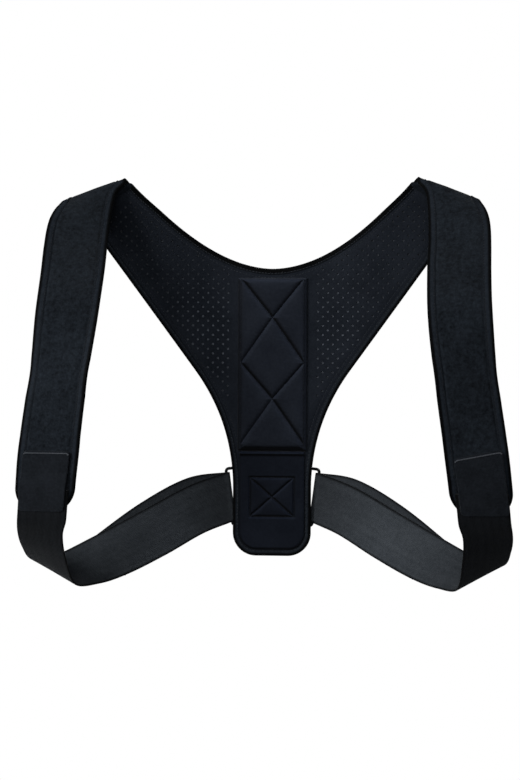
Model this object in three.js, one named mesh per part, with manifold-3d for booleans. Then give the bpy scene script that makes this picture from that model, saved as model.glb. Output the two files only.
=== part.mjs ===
// A posture corrector: a Y-shaped back panel whose wings go over the shoulders as padded straps,
// with elastic webbing from each strap's end round the waist to a ring at the panel's tongue.
//
// Millimetres, +Z up. The origin is the middle of the panel's neck edge, where the nape is. The wearer
// faces -Y, so the wearer's left is +X. The brace keeps the form that it has when it is worn.

import * as THREE from 'three';
import { mergeGeometries, mergeVertices } from 'three/addons/utils/BufferGeometryUtils.js';
import Module from 'manifold-3d';

// Whole brace as worn
const REACH = 235; // middle of the back to the outermost edge of a strap
const CHEST_DEPTH = 146; // back panel to the front of a strap
const STRAP_DROP = 304; // shoulder seam down to the end of a strap
const WEB_HANG = 60; // end of a strap down to the lowest bend of the webbing
const GAP = 0.3; // clearance between sewn pieces

// Back panel: wings and tongue
const PANEL_WALL = 3;
const SEAM_NECK_OUT = 138; // shoulder seam at the neck edge
const SEAM_NECK_RISE = 84.5;
const SEAM_LOWER_OUT = 185; // shoulder seam at the lower edge
const SEAM_LOWER_RISE = 49.5;
const NECK_BOW = 1.86; // power of the neck edge's curve
const TONGUE_HALF = 37.9;
const TONGUE_END = 284.4; // neck edge to the foot of the tongue
const TONGUE_CORNER = 22;
const FLARE_KNEE = 153; // where wing and tongue would meet in a corner
const FLARE_ROUND = 66; // how far that corner is rounded each way
const NECK_WRAP = 33; // how far the shoulder seam comes forward, at its two ends
const LOWER_WRAP = 24;
const WRAP_START = 38;
const WRAP_BOW = 1.7;
const PANEL_ROWS = 7;
const LOWER_STEPS = { foot: 2, corner: 3, side: 1, flare: 6, wing: 10 }; // of the lower edge's curves

// Air holes in the wings
const HOLE_WIDTH = 3.2;
const HOLE_PITCH = 20.5;
const HOLE_SIDES = 5;
const HOLE_MARGIN = 13; // least distance from a hole to an edge of the panel
const HOLE_TOP = 58;
const HOLE_ROWS = 22;

// Edge tape
const TAPE_WALL = 0.8;
const TAPE_LEG = 4.5;

// Spine pad and lower patch
const PAD_HALF = 34.5;
const PAD_TOP = 8; // neck edge to the pad's top
const PAD_LENGTH = 173;
const PAD_WALL = 5.6; // at the crown of a quilted pillow
const PAD_STITCH_WALL = 2.2; // at a stitch line
const PAD_HEM = 3; // edge to the stitch line that runs round the pad
const PAD_ROWS = 24;
const PAD_END_ROWS = 2; // rows over which the pad fills out from each end
const PAD_ZIGZAGS = 4; // times that a stitch line goes from the middle to the hem or back
const STITCH_CLEAR = 1; // stitch line to the pad's middle or hem where it turns
const PATCH_WALL = 1.6;
const PATCH_CORNER_STEPS = 5;

// Shoulder strap
const STRAP_WIDTH = 57.5;
const STRAP_WALL = 3.5;
const STRAP_CORNER = 25;
const STRAP_CORNER_ANGLES = [90, 62, 38, 16]; // degrees round the corner, one for each column
const STRAP_END_ROWS = 3; // rows in which the corners are rounded
const SEAM_GAP = 1.9; // between the cut edges of panel and strap

// Elastic webbing and hook tab
const WEB_WIDTH = 50;
const WEB_WALL = 1.8;
const WEB_LAP = 24; // length of webbing that lies on the strap
const WEB_LAP_REST = 8; // above the strap's end, where the webbing still lies flat on it
const WEB_LAP_PAST = 6; // below the strap's end, where the webbing still keeps its way
const RETURN_RISE = 9; // how far the returning layer bulges above the first
const TAB_WIDTH = 46;
const TAB_LENGTH = 56;
const TAB_WALL = 1.5;
const TAB_SHIFT = 0.8; // towards the strap's outer edge
const TAB_END = 3; // above the strap's end
const TAB_ROWS = 7;
const TAB_STEP_START = 3; // above the webbing's end, where the tab begins to come down to the strap
const TAB_STEP = 14; // length over which it comes down

// Ring and the keeper that holds both rings
const RING_WIRE = 3;
const RING_OPENING = 14;
const RING_PLAY = 2; // room above and below the webbing
const RING_CORNER = 3;
const RING_CORNER_STEPS = 3;
const RING_SIDES = 8; // of the wire
const RING_LEAN = 7.5; // degrees, tops outwards
const RING_OUT = 35;
const RING_DOWN = 226.5;
const KEEPER_WALL = 1.2;
const KEEPER_WIDTH = 44;
const KEEPER_SPREAD = 3; // radii of a ring's eye from its middle to where the band lies flat
const KEEPER_CURVE_STEPS = 4;

// Strap sections from the shoulder seam to the end. out, front and down are shares of the way from
// the seam to REACH, CHEST_DEPTH and STRAP_DROP. yaw and dip turn the width, in degrees: a positive
// yaw takes the outer edge back, a positive dip takes it down.
const STRAP_SECTIONS = [
  { name: 'shoulder ridge', out: 0.165, front: 0.12, down: -0.027, yaw: -14, dip: 23 },
  { name: 'over the ridge', out: 0.215, front: 0.19, down: -0.002, yaw: -20, dip: 20 },
  { name: 'collarbone', out: 0.26, front: 0.3, down: 0.053, yaw: -22, dip: 14 },
  { name: 'upper chest', out: 0.287, front: 0.455, down: 0.145, yaw: -20, dip: 7 },
  { name: 'above the chest', out: 0.29, front: 0.64, down: 0.245, yaw: -10, dip: 1 },
  { name: 'chest', out: 0.302, front: 0.85, down: 0.372, yaw: -2, dip: 0 },
  { name: 'below the chest', out: 0.353, front: 0.94, down: 0.52, yaw: 12, dip: 0 },
  { name: 'upper ribs', out: 0.418, front: 0.957, down: 0.641, yaw: 12, dip: 0 },
  { name: 'ribs', out: 0.492, front: 0.925, down: 0.763, yaw: 9, dip: 0 },
  { name: 'lower ribs', out: 0.56, front: 0.87, down: 0.888, yaw: 9, dip: 0 },
  { name: 'strap end', out: 0.612, front: 0.8, down: 1, yaw: 11, dip: 0 },
];

// Webbing sections from the strap's end to the ring. out and front are shares of the way from the
// ring to REACH and CHEST_DEPTH. down is the share of the way to the lowest bend, from the strap's
// end for the first three rows and from the ring for the others.
const DROP_SECTIONS = [
  { name: 'below the strap', out: 0.875, front: 0.8, down: 0.34, yaw: 20, dip: 0 },
  { name: 'top of the bend', out: 0.872, front: 0.716, down: 0.62, yaw: 22, dip: -8 },
  { name: 'lowest bend', out: 0.84, front: 0.546, down: 1, yaw: 9, dip: -28 },
];
const RISE_SECTIONS = [
  { name: 'past the bend', out: 0.742, front: 0.42, down: 0.985, yaw: 4, dip: -34 },
  { name: 'side of the waist', out: 0.57, front: 0.318, down: 0.785, yaw: 14, dip: -50 },
  { name: 'back of the waist', out: 0.366, front: 0.207, down: 0.493, yaw: 14, dip: -62 },
  { name: 'near the ring', out: 0.156, front: 0.105, down: 0.174, yaw: 12, dip: -74 },
];
const SECTION_STEPS = 2;
const RING_TURN_STEPS = 6;
const RETURN_STEPS = 6;
const RETURN_SHARE = 0.31; // share of the webbing's route that the returning layer covers

// Materials
const finish = (name, color, roughness) => new THREE.MeshStandardMaterial({ name, color, roughness });
const FINISHES = {
  panel: finish('perforated foam fabric', 0x1b1e23, 0.85),
  pad: finish('quilted pad fabric', 0x1f2227, 0.8),
  tape: finish('edge tape', 0x111317, 0.7),
  strap: finish('loop fabric', 0x1e2126, 0.95),
  webbing: finish('elastic webbing', 0x2c2f34, 0.75),
  hook: finish('hook fabric', 0x1d2024, 0.9),
  ring: finish('ring', 0x0c0d0f, 0.35),
};
const WELD = 1e-4; // corners closer than this are one
const NUDGE = 1e-3; // step along a ribbon for its direction

const mix = THREE.MathUtils.lerp;
const radians = THREE.MathUtils.degToRad;
const eased = (share) => THREE.MathUtils.smoothstep(share, 0, 1);
const point = (x, y, z) => new THREE.Vector3(x, y, z);

// A closed geometry from shared corners and faces, turned so that its faces point outwards
function closedGeometry(corners, faces) {
  const volume = faces.reduce((sum, [a, b, c]) => {
    const cross = point(0, 0, 0).crossVectors(corners[b], corners[c]);
    return sum + corners[a].dot(cross);
  }, 0);
  const outward = volume < 0 ? faces.map(([a, b, c]) => [a, c, b]) : faces;
  const geometry = new THREE.BufferGeometry();
  const places = corners.flatMap((p) => p.toArray());
  geometry.setAttribute('position', new THREE.Float32BufferAttribute(places, 3));
  geometry.setIndex(outward.flat());
  return geometry;
}

// The normal of a grid of points at one of them, from its neighbours along the rows and columns
function gridNormal(grid, row, column) {
  const lastRow = grid.length - 1;
  const lastColumn = grid[0].length - 1;
  const [rowAfter, rowBefore] = [Math.min(row + 1, lastRow), Math.max(row - 1, 0)];
  const [columnAfter, columnBefore] = [Math.min(column + 1, lastColumn), Math.max(column - 1, 0)];
  const along = grid[rowAfter][column].clone().sub(grid[rowBefore][column]);
  const across = grid[row][columnAfter].clone().sub(grid[row][columnBefore]);
  return along.cross(across).normalize();
}

// A closed wall between two grids of points of the same size
function wallBetween(front, back) {
  const rows = front.length;
  const columns = front[0].length;
  const corners = [...front.flat(), ...back.flat()];
  const backStart = rows * columns;
  const at = (row, column) => row * columns + column;
  const faces = [];
  for (let row = 0; row < rows - 1; row++) {
    for (let column = 0; column < columns - 1; column++) {
      const [a, b] = [at(row, column), at(row + 1, column)];
      const [d, c] = [at(row, column + 1), at(row + 1, column + 1)];
      faces.push([a, b, c], [a, c, d]);
      faces.push([backStart + a, backStart + c, backStart + b]);
      faces.push([backStart + a, backStart + d, backStart + c]);
    }
  }
  const rim = [];
  for (let column = 0; column < columns - 1; column++) rim.push(at(0, column));
  for (let row = 0; row < rows - 1; row++) rim.push(at(row, columns - 1));
  for (let column = columns - 1; column > 0; column--) rim.push(at(rows - 1, column));
  for (let row = rows - 1; row > 0; row--) rim.push(at(row, 0));
  rim.forEach((a, k) => {
    const b = rim[(k + 1) % rim.length];
    faces.push([a, b, backStart + b], [a, backStart + b, backStart + a]);
  });
  return closedGeometry(corners, faces);
}

// A wall of even thickness round a grid of points in its middle
function clothWall(grid, wall) {
  const moved = (side) => grid.map((line, row) => line.map((p, column) => (
    p.clone().addScaledVector(gridNormal(grid, row, column), (side * wall) / 2)
  )));
  return wallBetween(moved(1), moved(-1));
}

// A profile carried along frames of { at, side, up }. A looped sweep joins its last frame to its first
function sweep(frames, profile, looped) {
  const corners = frames.flatMap(({ at, side, up }) => profile.map(([a, b]) => (
    at.clone().addScaledVector(side, a).addScaledVector(up, b)
  )));
  const count = profile.length;
  const faces = [];
  const spans = looped ? frames.length : frames.length - 1;
  for (let k = 0; k < spans; k++) {
    const here = k * count;
    const next = ((k + 1) % frames.length) * count;
    for (let i = 0; i < count; i++) {
      const j = (i + 1) % count;
      faces.push([here + i, next + i, next + j], [here + i, next + j, here + j]);
    }
  }
  if (!looped) {
    const outline = profile.map(([a, b]) => new THREE.Vector2(a, b));
    const last = (frames.length - 1) * count;
    THREE.ShapeUtils.triangulateShape(outline, []).forEach(([a, b, c]) => {
      faces.push([a, b, c], [last + a, last + c, last + b]);
    });
  }
  return closedGeometry(corners, faces);
}

// The same geometry on the other side of the body
function mirrored(geometry) {
  const other = geometry.clone();
  const position = other.getAttribute('position');
  for (let i = 0; i < position.count; i++) position.setX(i, -position.getX(i));
  const index = Array.from(other.getIndex().array);
  for (let i = 0; i < index.length; i += 3) [index[i + 1], index[i + 2]] = [index[i + 2], index[i + 1]];
  other.setIndex(index);
  return other;
}

// Panel

const neckRise = (x) => SEAM_NECK_RISE * (x / SEAM_NECK_OUT) ** NECK_BOW;

// The lower edge from the middle of the tongue's foot to the shoulder seam, as curves with their steps
function lowerEdgePoints() {
  const knee = new THREE.Vector2(TONGUE_HALF, -FLARE_KNEE);
  const seam = new THREE.Vector2(SEAM_LOWER_OUT, SEAM_LOWER_RISE);
  const wingWay = seam.clone().sub(knee).normalize();
  const flareStart = new THREE.Vector2(TONGUE_HALF, -FLARE_KNEE - FLARE_ROUND);
  const flareEnd = knee.clone().addScaledVector(wingWay, FLARE_ROUND);
  const cornerX = TONGUE_HALF - TONGUE_CORNER;
  const cornerZ = TONGUE_CORNER - TONGUE_END;
  const foot = new THREE.Vector2(0, -TONGUE_END);
  const footEnd = new THREE.Vector2(cornerX, -TONGUE_END);
  const sideStart = new THREE.Vector2(TONGUE_HALF, cornerZ);
  const [round, quarter] = [TONGUE_CORNER, Math.PI / 2];
  const curves = {
    foot: new THREE.LineCurve(foot, footEnd),
    corner: new THREE.EllipseCurve(cornerX, cornerZ, round, round, -quarter, 0),
    side: new THREE.LineCurve(sideStart, flareStart),
    flare: new THREE.QuadraticBezierCurve(flareStart, knee, flareEnd),
    wing: new THREE.LineCurve(flareEnd, seam),
  };
  const points = Object.entries(curves).flatMap(([name, curve]) => (
    curve.getPoints(LOWER_STEPS[name]).slice(0, -1)
  ));
  return [...points, seam];
}

// How far forward the panel lies, x out and a share down from the neck edge to the lower edge
function wrapForward(x, share) {
  const seamOut = mix(SEAM_NECK_OUT, SEAM_LOWER_OUT, share);
  const way = Math.max(0, (x - WRAP_START) / (seamOut - WRAP_START));
  return mix(NECK_WRAP, LOWER_WRAP, share) * way ** WRAP_BOW;
}

// The panel's middle surface, as rows from the neck edge to the lower edge
function panelGrid() {
  const lower = lowerEdgePoints();
  const last = lower.length - 1;
  return Array.from({ length: PANEL_ROWS + 1 }, (_, row) => {
    const share = row / PANEL_ROWS;
    const half = lower.map((edge, column) => {
      const neckX = (SEAM_NECK_OUT * column) / last;
      const x = mix(neckX, edge.x, share);
      return point(x, -wrapForward(x, share), mix(neckRise(neckX), edge.y, share));
    });
    const otherHalf = half.slice(1).reverse().map((p) => point(-p.x, p.y, p.z));
    return [...otherHalf, ...half];
  });
}

// Whether an air hole at x, z keeps HOLE_MARGIN from the panel's edges and the spine pad
function holeFits(x, z) {
  const awayFrom = (ax, az, bx, bz) => (
    ((bx - ax) * (z - az) - (bz - az) * (x - ax)) / Math.hypot(bx - ax, bz - az)
  );
  const neckSlope = (NECK_BOW * neckRise(x)) / x;
  const fromNeck = (neckRise(x) - z) / Math.hypot(1, neckSlope);
  const fromLower = awayFrom(TONGUE_HALF, -FLARE_KNEE, SEAM_LOWER_OUT, SEAM_LOWER_RISE);
  const fromSeam = awayFrom(SEAM_LOWER_OUT, SEAM_LOWER_RISE, SEAM_NECK_OUT, SEAM_NECK_RISE);
  const fromPad = x - PAD_HALF;
  return Math.min(fromNeck, fromLower, fromSeam, fromPad) >= HOLE_MARGIN;
}

// Air holes on a lattice whose every second row is moved by half a pitch
function holePlaces() {
  const places = [];
  for (let row = 0; row < HOLE_ROWS; row++) {
    const z = HOLE_TOP - (row * HOLE_PITCH) / 2;
    const start = PAD_HALF + HOLE_MARGIN + ((row % 2) * HOLE_PITCH) / 2;
    for (let x = start; x < SEAM_LOWER_OUT; x += HOLE_PITCH) {
      if (holeFits(x, z)) places.push([x, z], [-x, z]);
    }
  }
  return places;
}

const wasm = await Module();
wasm.setup();

function toSolid(geometry) {
  const bare = geometry.clone();
  bare.deleteAttribute('normal');
  bare.deleteAttribute('uv');
  const merged = mergeVertices(bare, WELD);
  return new wasm.Manifold(new wasm.Mesh({
    numProp: 3,
    vertProperties: Float32Array.from(merged.getAttribute('position').array),
    triVerts: Uint32Array.from(merged.getIndex().array),
  }));
}

function fromSolid(solid) {
  const mesh = solid.getMesh();
  const geometry = new THREE.BufferGeometry();
  const places = Float32Array.from(mesh.vertProperties);
  geometry.setAttribute('position', new THREE.BufferAttribute(places, 3));
  geometry.setIndex(Array.from(mesh.triVerts));
  return geometry;
}

function backPanel(grid) {
  const length = 4 * (NECK_WRAP + PANEL_WALL); // through the panel wherever it wraps forward
  const radius = HOLE_WIDTH / 2;
  const pins = holePlaces().map(([x, z]) => (
    new THREE.CylinderGeometry(radius, radius, length, HOLE_SIDES).translate(x, 0, z)
  ));
  const cloth = toSolid(clothWall(grid, PANEL_WALL));
  return fromSolid(cloth.subtract(toSolid(mergeGeometries(pins))));
}

// Tape folded over an edge of a wall. edge holds frames whose side points into the cloth
function edgeTape(edge, wall) {
  const within = wall / 2 + GAP;
  const outside = within + TAPE_WALL;
  const fold = -GAP - TAPE_WALL;
  const profile = [
    [TAPE_LEG, within], [TAPE_LEG, outside], [fold, outside], [fold, -outside],
    [TAPE_LEG, -outside], [TAPE_LEG, -within], [-GAP, -within], [-GAP, within],
  ];
  return sweep(edge, profile, false);
}

// Frames along an edge of a grid, from places with the row and column of each point of the edge. The
// side of a frame is square to the edge and to the cloth's normal, and inside is 1 or -1 for it
function gridEdge(grid, places, inside) {
  const points = places.map(([row, column]) => grid[row][column]);
  return places.map(([row, column], k) => {
    const up = gridNormal(grid, row, column);
    const next = points[Math.min(k + 1, points.length - 1)];
    const tangent = next.clone().sub(points[Math.max(k - 1, 0)]);
    const side = point(0, 0, 0).crossVectors(up, tangent).multiplyScalar(inside).normalize();
    return { at: points[k], side, up };
  });
}

// Pad and patch

// The stitch lines cross the pad twice: how far out they are at a share of its length
function stitchOut(share) {
  const way = (share * PAD_ZIGZAGS) % 2;
  const reach = PAD_HALF - PAD_HEM;
  return THREE.MathUtils.clamp(Math.abs(1 - way) * reach, STITCH_CLEAR, reach - STITCH_CLEAR);
}

// The quilted pad: flat on the panel, with a pillow between each pair of stitch lines
function spinePad() {
  const flat = -PANEL_WALL / 2 - GAP;
  const hem = PAD_HALF - PAD_HEM;
  const fullRoom = hem / 2; // a pillow with this room reaches PAD_WALL
  const front = [];
  const back = [];
  for (let row = 0; row <= PAD_ROWS; row++) {
    const share = row / PAD_ROWS;
    const z = -PAD_TOP - share * PAD_LENGTH;
    const line = stitchOut(share);
    const fromEnd = eased((Math.min(share, 1 - share) * PAD_ROWS) / PAD_END_ROWS);
    const height = (room) => {
      const fullness = Math.min(1, Math.sqrt(Math.max(0, room) / fullRoom)) * fromEnd;
      return mix(PAD_STITCH_WALL, PAD_WALL, fullness);
    };
    const half = [
      [0, height(line - STITCH_CLEAR)],
      [line / 2, height(line - STITCH_CLEAR)],
      [line, PAD_STITCH_WALL],
      [(line + hem) / 2, height(hem - line - STITCH_CLEAR)],
      [hem, PAD_STITCH_WALL],
      [PAD_HALF, PAD_STITCH_WALL],
    ];
    const section = [...half.slice(1).reverse().map(([x, wall]) => [-x, wall]), ...half];
    front.push(section.map(([x, wall]) => point(x, flat - wall, z)));
    back.push(section.map(([x]) => point(x, flat, z)));
  }
  return wallBetween(front, back);
}

// The plain patch on the tongue, inside its edge tape
function lowerPatch() {
  const top = -PAD_TOP - PAD_LENGTH - 2 * GAP;
  const margin = TAPE_LEG + 3 * GAP;
  const [half, foot, corner] = [TONGUE_HALF - margin, margin - TONGUE_END, TONGUE_CORNER - margin];
  const outline = new THREE.Shape()
    .moveTo(-half, top)
    .lineTo(-half, foot + corner)
    .absarc(corner - half, foot + corner, corner, Math.PI, 1.5 * Math.PI, false)
    .absarc(half - corner, foot + corner, corner, 1.5 * Math.PI, 2 * Math.PI, false)
    .lineTo(half, top);
  const settings = { depth: PATCH_WALL, bevelEnabled: false, curveSegments: PATCH_CORNER_STEPS };
  const plate = new THREE.ExtrudeGeometry(outline, settings);
  return plate.rotateX(Math.PI / 2).translate(0, -PANEL_WALL / 2 - GAP, 0);
}

// Ribbons

function turned(yaw, dip) {
  const [y, d] = [radians(yaw), radians(dip)];
  return point(Math.cos(d) * Math.cos(y), Math.cos(d) * Math.sin(y), -Math.sin(d));
}

// A smooth ribbon through sections of { at, width }: at(t, a, lift) is the place a share t along it,
// a to the outer side of its middle and lift out of its surface
function ribbon(sections) {
  const middle = new THREE.CatmullRomCurve3(sections.map((s) => s.at), false, 'centripetal');
  const widths = new THREE.CatmullRomCurve3(sections.map((s) => s.width), false, 'centripetal');
  const line = (t, a) => middle.getPoint(t).addScaledVector(widths.getPoint(t).normalize(), a);
  const at = (t, a, lift) => {
    const [before, after] = [Math.max(0, t - NUDGE), Math.min(1, t + NUDGE)];
    const along = line(after, a).sub(line(before, a));
    const normal = along.cross(widths.getPoint(t)).normalize();
    return line(t, a).addScaledVector(normal, lift);
  };
  const spans = sections.length - 1;
  const endWay = middle.getPoint(1).sub(middle.getPoint(1 - 1 / spans));
  const fromEnd = (length) => 1 - length / (spans * endWay.length());
  const past = (length, lift) => at(1, 0, lift).addScaledVector(endWay, length / endWay.length());
  return { at, past, fromEnd, spans, width: (t) => widths.getPoint(t).normalize() };
}

const panel = panelGrid();
const seamInner = point(SEAM_NECK_OUT, -NECK_WRAP, SEAM_NECK_RISE);
const seamOuter = point(SEAM_LOWER_OUT, -LOWER_WRAP, SEAM_LOWER_RISE);
const seamMiddle = seamInner.clone().lerp(seamOuter, 0.5);
const strapEndZ = seamMiddle.z - STRAP_DROP;

function strapRibbon() {
  const rows = STRAP_SECTIONS.map(({ out, front, down, yaw, dip }) => ({
    at: point(
      mix(seamMiddle.x, REACH, out),
      mix(seamMiddle.y, -CHEST_DEPTH, front),
      mix(seamMiddle.z, strapEndZ, down),
    ),
    width: turned(yaw, dip),
  }));
  const width = seamOuter.clone().sub(seamInner).normalize();
  const away = rows[0].at.clone().sub(seamMiddle).normalize();
  const start = { at: seamMiddle.clone().addScaledVector(away, SEAM_GAP), width };
  return ribbon([start, ...rows]);
}

// How much shorter the strap's rounded end is, a away from its middle
function endCut(a) {
  const past = Math.max(0, Math.abs(a) - (STRAP_WIDTH / 2 - STRAP_CORNER));
  return STRAP_CORNER - Math.sqrt(Math.max(0, STRAP_CORNER ** 2 - past ** 2));
}

function strapGrid(strap) {
  const steps = strap.spans * SECTION_STEPS;
  const roundStart = strap.fromEnd(2 * STRAP_CORNER);
  const flatHalf = STRAP_WIDTH / 2 - STRAP_CORNER;
  const outer = STRAP_CORNER_ANGLES.map((angle) => flatHalf + STRAP_CORNER * Math.sin(radians(angle)));
  const columns = [...outer.map((a) => -a), ...outer.reverse()];
  return Array.from({ length: steps + 1 }, (_, row) => {
    const t = row / steps;
    const share = eased((t - roundStart) / (1 - roundStart));
    return columns.map((a) => strap.at(t - share * (1 - strap.fromEnd(endCut(a))), a, 0));
  });
}

// Both long edges of the strap and its end. On a long edge the tape lies along the strap's own rows
function strapEdge(grid) {
  const [lastRow, lastColumn] = [grid.length - 1, grid[0].length - 1];
  const rows = grid.map((_, row) => row);
  const inner = rows.map((row) => [row, 0]);
  const end = grid[0].map((_, column) => [lastRow, column]).slice(1, -1);
  const outer = rows.reverse().map((row) => [row, lastColumn]);
  const places = [...inner, ...end, ...outer];
  return gridEdge(grid, places, 1).map((frame, k) => {
    const [row, column] = places[k];
    if (row > lastRow - STRAP_END_ROWS) return frame;
    const next = grid[row][column === 0 ? 1 : lastColumn - 1];
    return { ...frame, side: next.clone().sub(frame.at).normalize() };
  });
}

// Webbing, ring and tab

const strapLift = STRAP_WALL / 2 + GAP + TAPE_WALL + GAP; // clear of the strap's edge tape
const ringY = PANEL_WALL / 2 + GAP + TAPE_WALL + GAP + WEB_WALL + GAP + RING_WIRE / 2;
const turnRadius = RING_WIRE / 2 + GAP + WEB_WALL / 2;
const ringUp = point(Math.sin(radians(RING_LEAN)), 0, Math.cos(radians(RING_LEAN)));
const ringSide = point(ringUp.z, 0, -ringUp.x);
const ringMiddle = point(RING_OUT, ringY, -RING_DOWN);
const ringBars = RING_OPENING + RING_WIRE;
const ringHeight = WEB_WIDTH + 2 * RING_PLAY + RING_WIRE;
const outerBar = ringMiddle.clone().addScaledVector(ringSide, ringBars / 2);

function webbingRibbon(strap) {
  const lowest = strapEndZ - WEB_HANG;
  const placed = (fromZ) => ({ out, front, down, yaw, dip }) => ({
    at: point(mix(outerBar.x, REACH, out), mix(ringY, -CHEST_DEPTH, front), mix(fromZ, lowest, down)),
    width: turned(yaw, dip),
  });
  const lift = strapLift + WEB_WALL / 2;
  const lap = [strap.fromEnd(WEB_LAP), strap.fromEnd(WEB_LAP_REST)].map((t) => (
    { at: strap.at(t, 0, lift), width: strap.width(t) }
  ));
  lap.push({ at: strap.past(WEB_LAP_PAST, lift), width: strap.width(1) });
  const atBar = { at: outerBar.clone().setY(ringY - turnRadius), width: ringUp };
  return ribbon([
    ...lap, ...DROP_SECTIONS.map(placed(strapEndZ)), ...RISE_SECTIONS.map(placed(-RING_DOWN)), atBar,
  ]);
}

function webbing(strap) {
  const first = webbingRibbon(strap);
  const steps = first.spans * SECTION_STEPS;
  const columns = [-1 / 2, -1 / 6, 1 / 6, 1 / 2].map((share) => share * WEB_WIDTH);
  const grid = [];
  for (let row = 0; row < steps; row++) {
    grid.push(columns.map((a) => first.at(row / steps, a, 0)));
  }
  for (let step = 0; step <= RING_TURN_STEPS; step++) {
    const angle = (Math.PI * step) / RING_TURN_STEPS;
    const turn = outerBar.clone()
      .addScaledVector(ringSide, -turnRadius * Math.sin(angle))
      .setY(ringY - turnRadius * Math.cos(angle));
    grid.push(columns.map((a) => turn.clone().addScaledVector(ringUp, a)));
  }
  for (let step = 1; step <= RETURN_STEPS; step++) {
    const share = step / RETURN_STEPS;
    const lift = mix(2 * turnRadius, WEB_WALL + GAP, eased(share));
    const rise = RETURN_RISE * Math.sin(Math.PI * share);
    grid.push(columns.map((a) => first.at(1 - share * RETURN_SHARE, a + rise, lift)));
  }
  return clothWall(grid, WEB_WALL);
}

function hookTab(strap) {
  const near = strapLift + TAB_WALL / 2;
  const far = strapLift + WEB_WALL + 2 * GAP + TAB_WALL / 2;
  const columns = [-1 / 2, 0, 1 / 2].map((share) => TAB_SHIFT + share * TAB_WIDTH);
  const grid = Array.from({ length: TAB_ROWS + 1 }, (_, row) => {
    const fromEnd = TAB_END + TAB_LENGTH * (1 - row / TAB_ROWS);
    const lift = mix(far, near, eased((fromEnd - WEB_LAP - TAB_STEP_START) / TAB_STEP));
    return columns.map((a) => strap.at(strap.fromEnd(fromEnd), a, lift));
  });
  return clothWall(grid, TAB_WALL);
}

function ring() {
  const [halfOut, halfUp] = [ringBars / 2 - RING_CORNER, ringHeight / 2 - RING_CORNER];
  const frames = [];
  [[1, 1], [-1, 1], [-1, -1], [1, -1]].forEach(([right, top], quarter) => {
    for (let step = 0; step <= RING_CORNER_STEPS; step++) {
      const angle = (Math.PI / 2) * (quarter + step / RING_CORNER_STEPS);
      const away = ringSide.clone()
        .multiplyScalar(Math.cos(angle))
        .addScaledVector(ringUp, Math.sin(angle));
      const at = ringMiddle.clone()
        .addScaledVector(ringSide, right * halfOut)
        .addScaledVector(ringUp, top * halfUp)
        .addScaledVector(away, RING_CORNER);
      frames.push({ at, side: away, up: point(0, 1, 0) });
    }
  });
  const wire = Array.from({ length: RING_SIDES }, (_, k) => {
    const angle = (2 * Math.PI * k) / RING_SIDES;
    return [(RING_WIRE / 2) * Math.cos(angle), (RING_WIRE / 2) * Math.sin(angle)];
  });
  return sweep(frames, wire, true);
}

// The band across the tongue's back, doubled round each ring's inner bar. It narrows downwards as
// the bars lean
function ringKeeper() {
  const bar = ringMiddle.clone().addScaledVector(ringSide, -ringBars / 2);
  const flat = PANEL_WALL / 2 + GAP;
  const bore = RING_WIRE / 2 + GAP;
  const eye = bore + KEEPER_WALL;
  const foldStart = bar.x - KEEPER_SPREAD * eye;
  const outline = new THREE.Shape()
    .moveTo(-foldStart, flat)
    .lineTo(foldStart, flat)
    .lineTo(bar.x, ringY - eye)
    .absarc(bar.x, ringY, eye, -Math.PI / 2, Math.PI / 2, false)
    .lineTo(foldStart, flat + 2 * KEEPER_WALL)
    .lineTo(-foldStart, flat + 2 * KEEPER_WALL)
    .lineTo(-bar.x, ringY + eye)
    .absarc(-bar.x, ringY, eye, Math.PI / 2, 1.5 * Math.PI, false);
  outline.holes = [bar.x, -bar.x].map((x) => (
    new THREE.Path().absarc(x, ringY, bore, 0, 2 * Math.PI, true)
  ));
  const settings = { depth: KEEPER_WIDTH, bevelEnabled: false, curveSegments: KEEPER_CURVE_STEPS };
  const band = new THREE.ExtrudeGeometry(outline, settings);
  band.translate(0, 0, -KEEPER_WIDTH / 2);
  const position = band.getAttribute('position');
  for (let i = 0; i < position.count; i++) {
    const lean = (Math.tan(radians(RING_LEAN)) * position.getZ(i)) / bar.x;
    position.setX(i, position.getX(i) * (1 + lean));
  }
  return band.translate(0, 0, bar.z);
}

// The brace

const brace = new THREE.Group();
function add(name, geometry, material) {
  const mesh = new THREE.Mesh(geometry, material);
  mesh.name = name;
  brace.add(mesh);
}
function addPair(name, geometry, material) {
  add(`${name}_left`, geometry, material);
  add(`${name}_right`, mirrored(geometry), material);
}

const panelColumns = panel[0].map((_, column) => column);
add('back_panel', backPanel(panel), FINISHES.panel);
const neckEdge = gridEdge(panel, panelColumns.map((column) => [0, column]), -1);
const lowerEdge = gridEdge(panel, panelColumns.map((column) => [PANEL_ROWS, column]), 1);
add('neck_binding', edgeTape(neckEdge, PANEL_WALL), FINISHES.tape);
add('lower_binding', edgeTape(lowerEdge, PANEL_WALL), FINISHES.tape);
add('spine_pad', spinePad(), FINISHES.pad);
add('lower_patch', lowerPatch(), FINISHES.pad);
add('ring_keeper', ringKeeper(), FINISHES.webbing);
addPair('ring', ring(), FINISHES.ring);

const strap = strapRibbon();
const strapCloth = strapGrid(strap);
addPair('strap', clothWall(strapCloth, STRAP_WALL), FINISHES.strap);
addPair('strap_binding', edgeTape(strapEdge(strapCloth), STRAP_WALL), FINISHES.tape);
addPair('webbing', webbing(strap), FINISHES.webbing);
addPair('hook_tab', hookTab(strap), FINISHES.hook);

export default brace;
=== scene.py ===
"""A posture corrector in its worn form: a perforated back panel, padded shoulder straps, elastic
webbing through two wire rings, and hook tabs. Metres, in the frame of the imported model."""

import math

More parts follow.
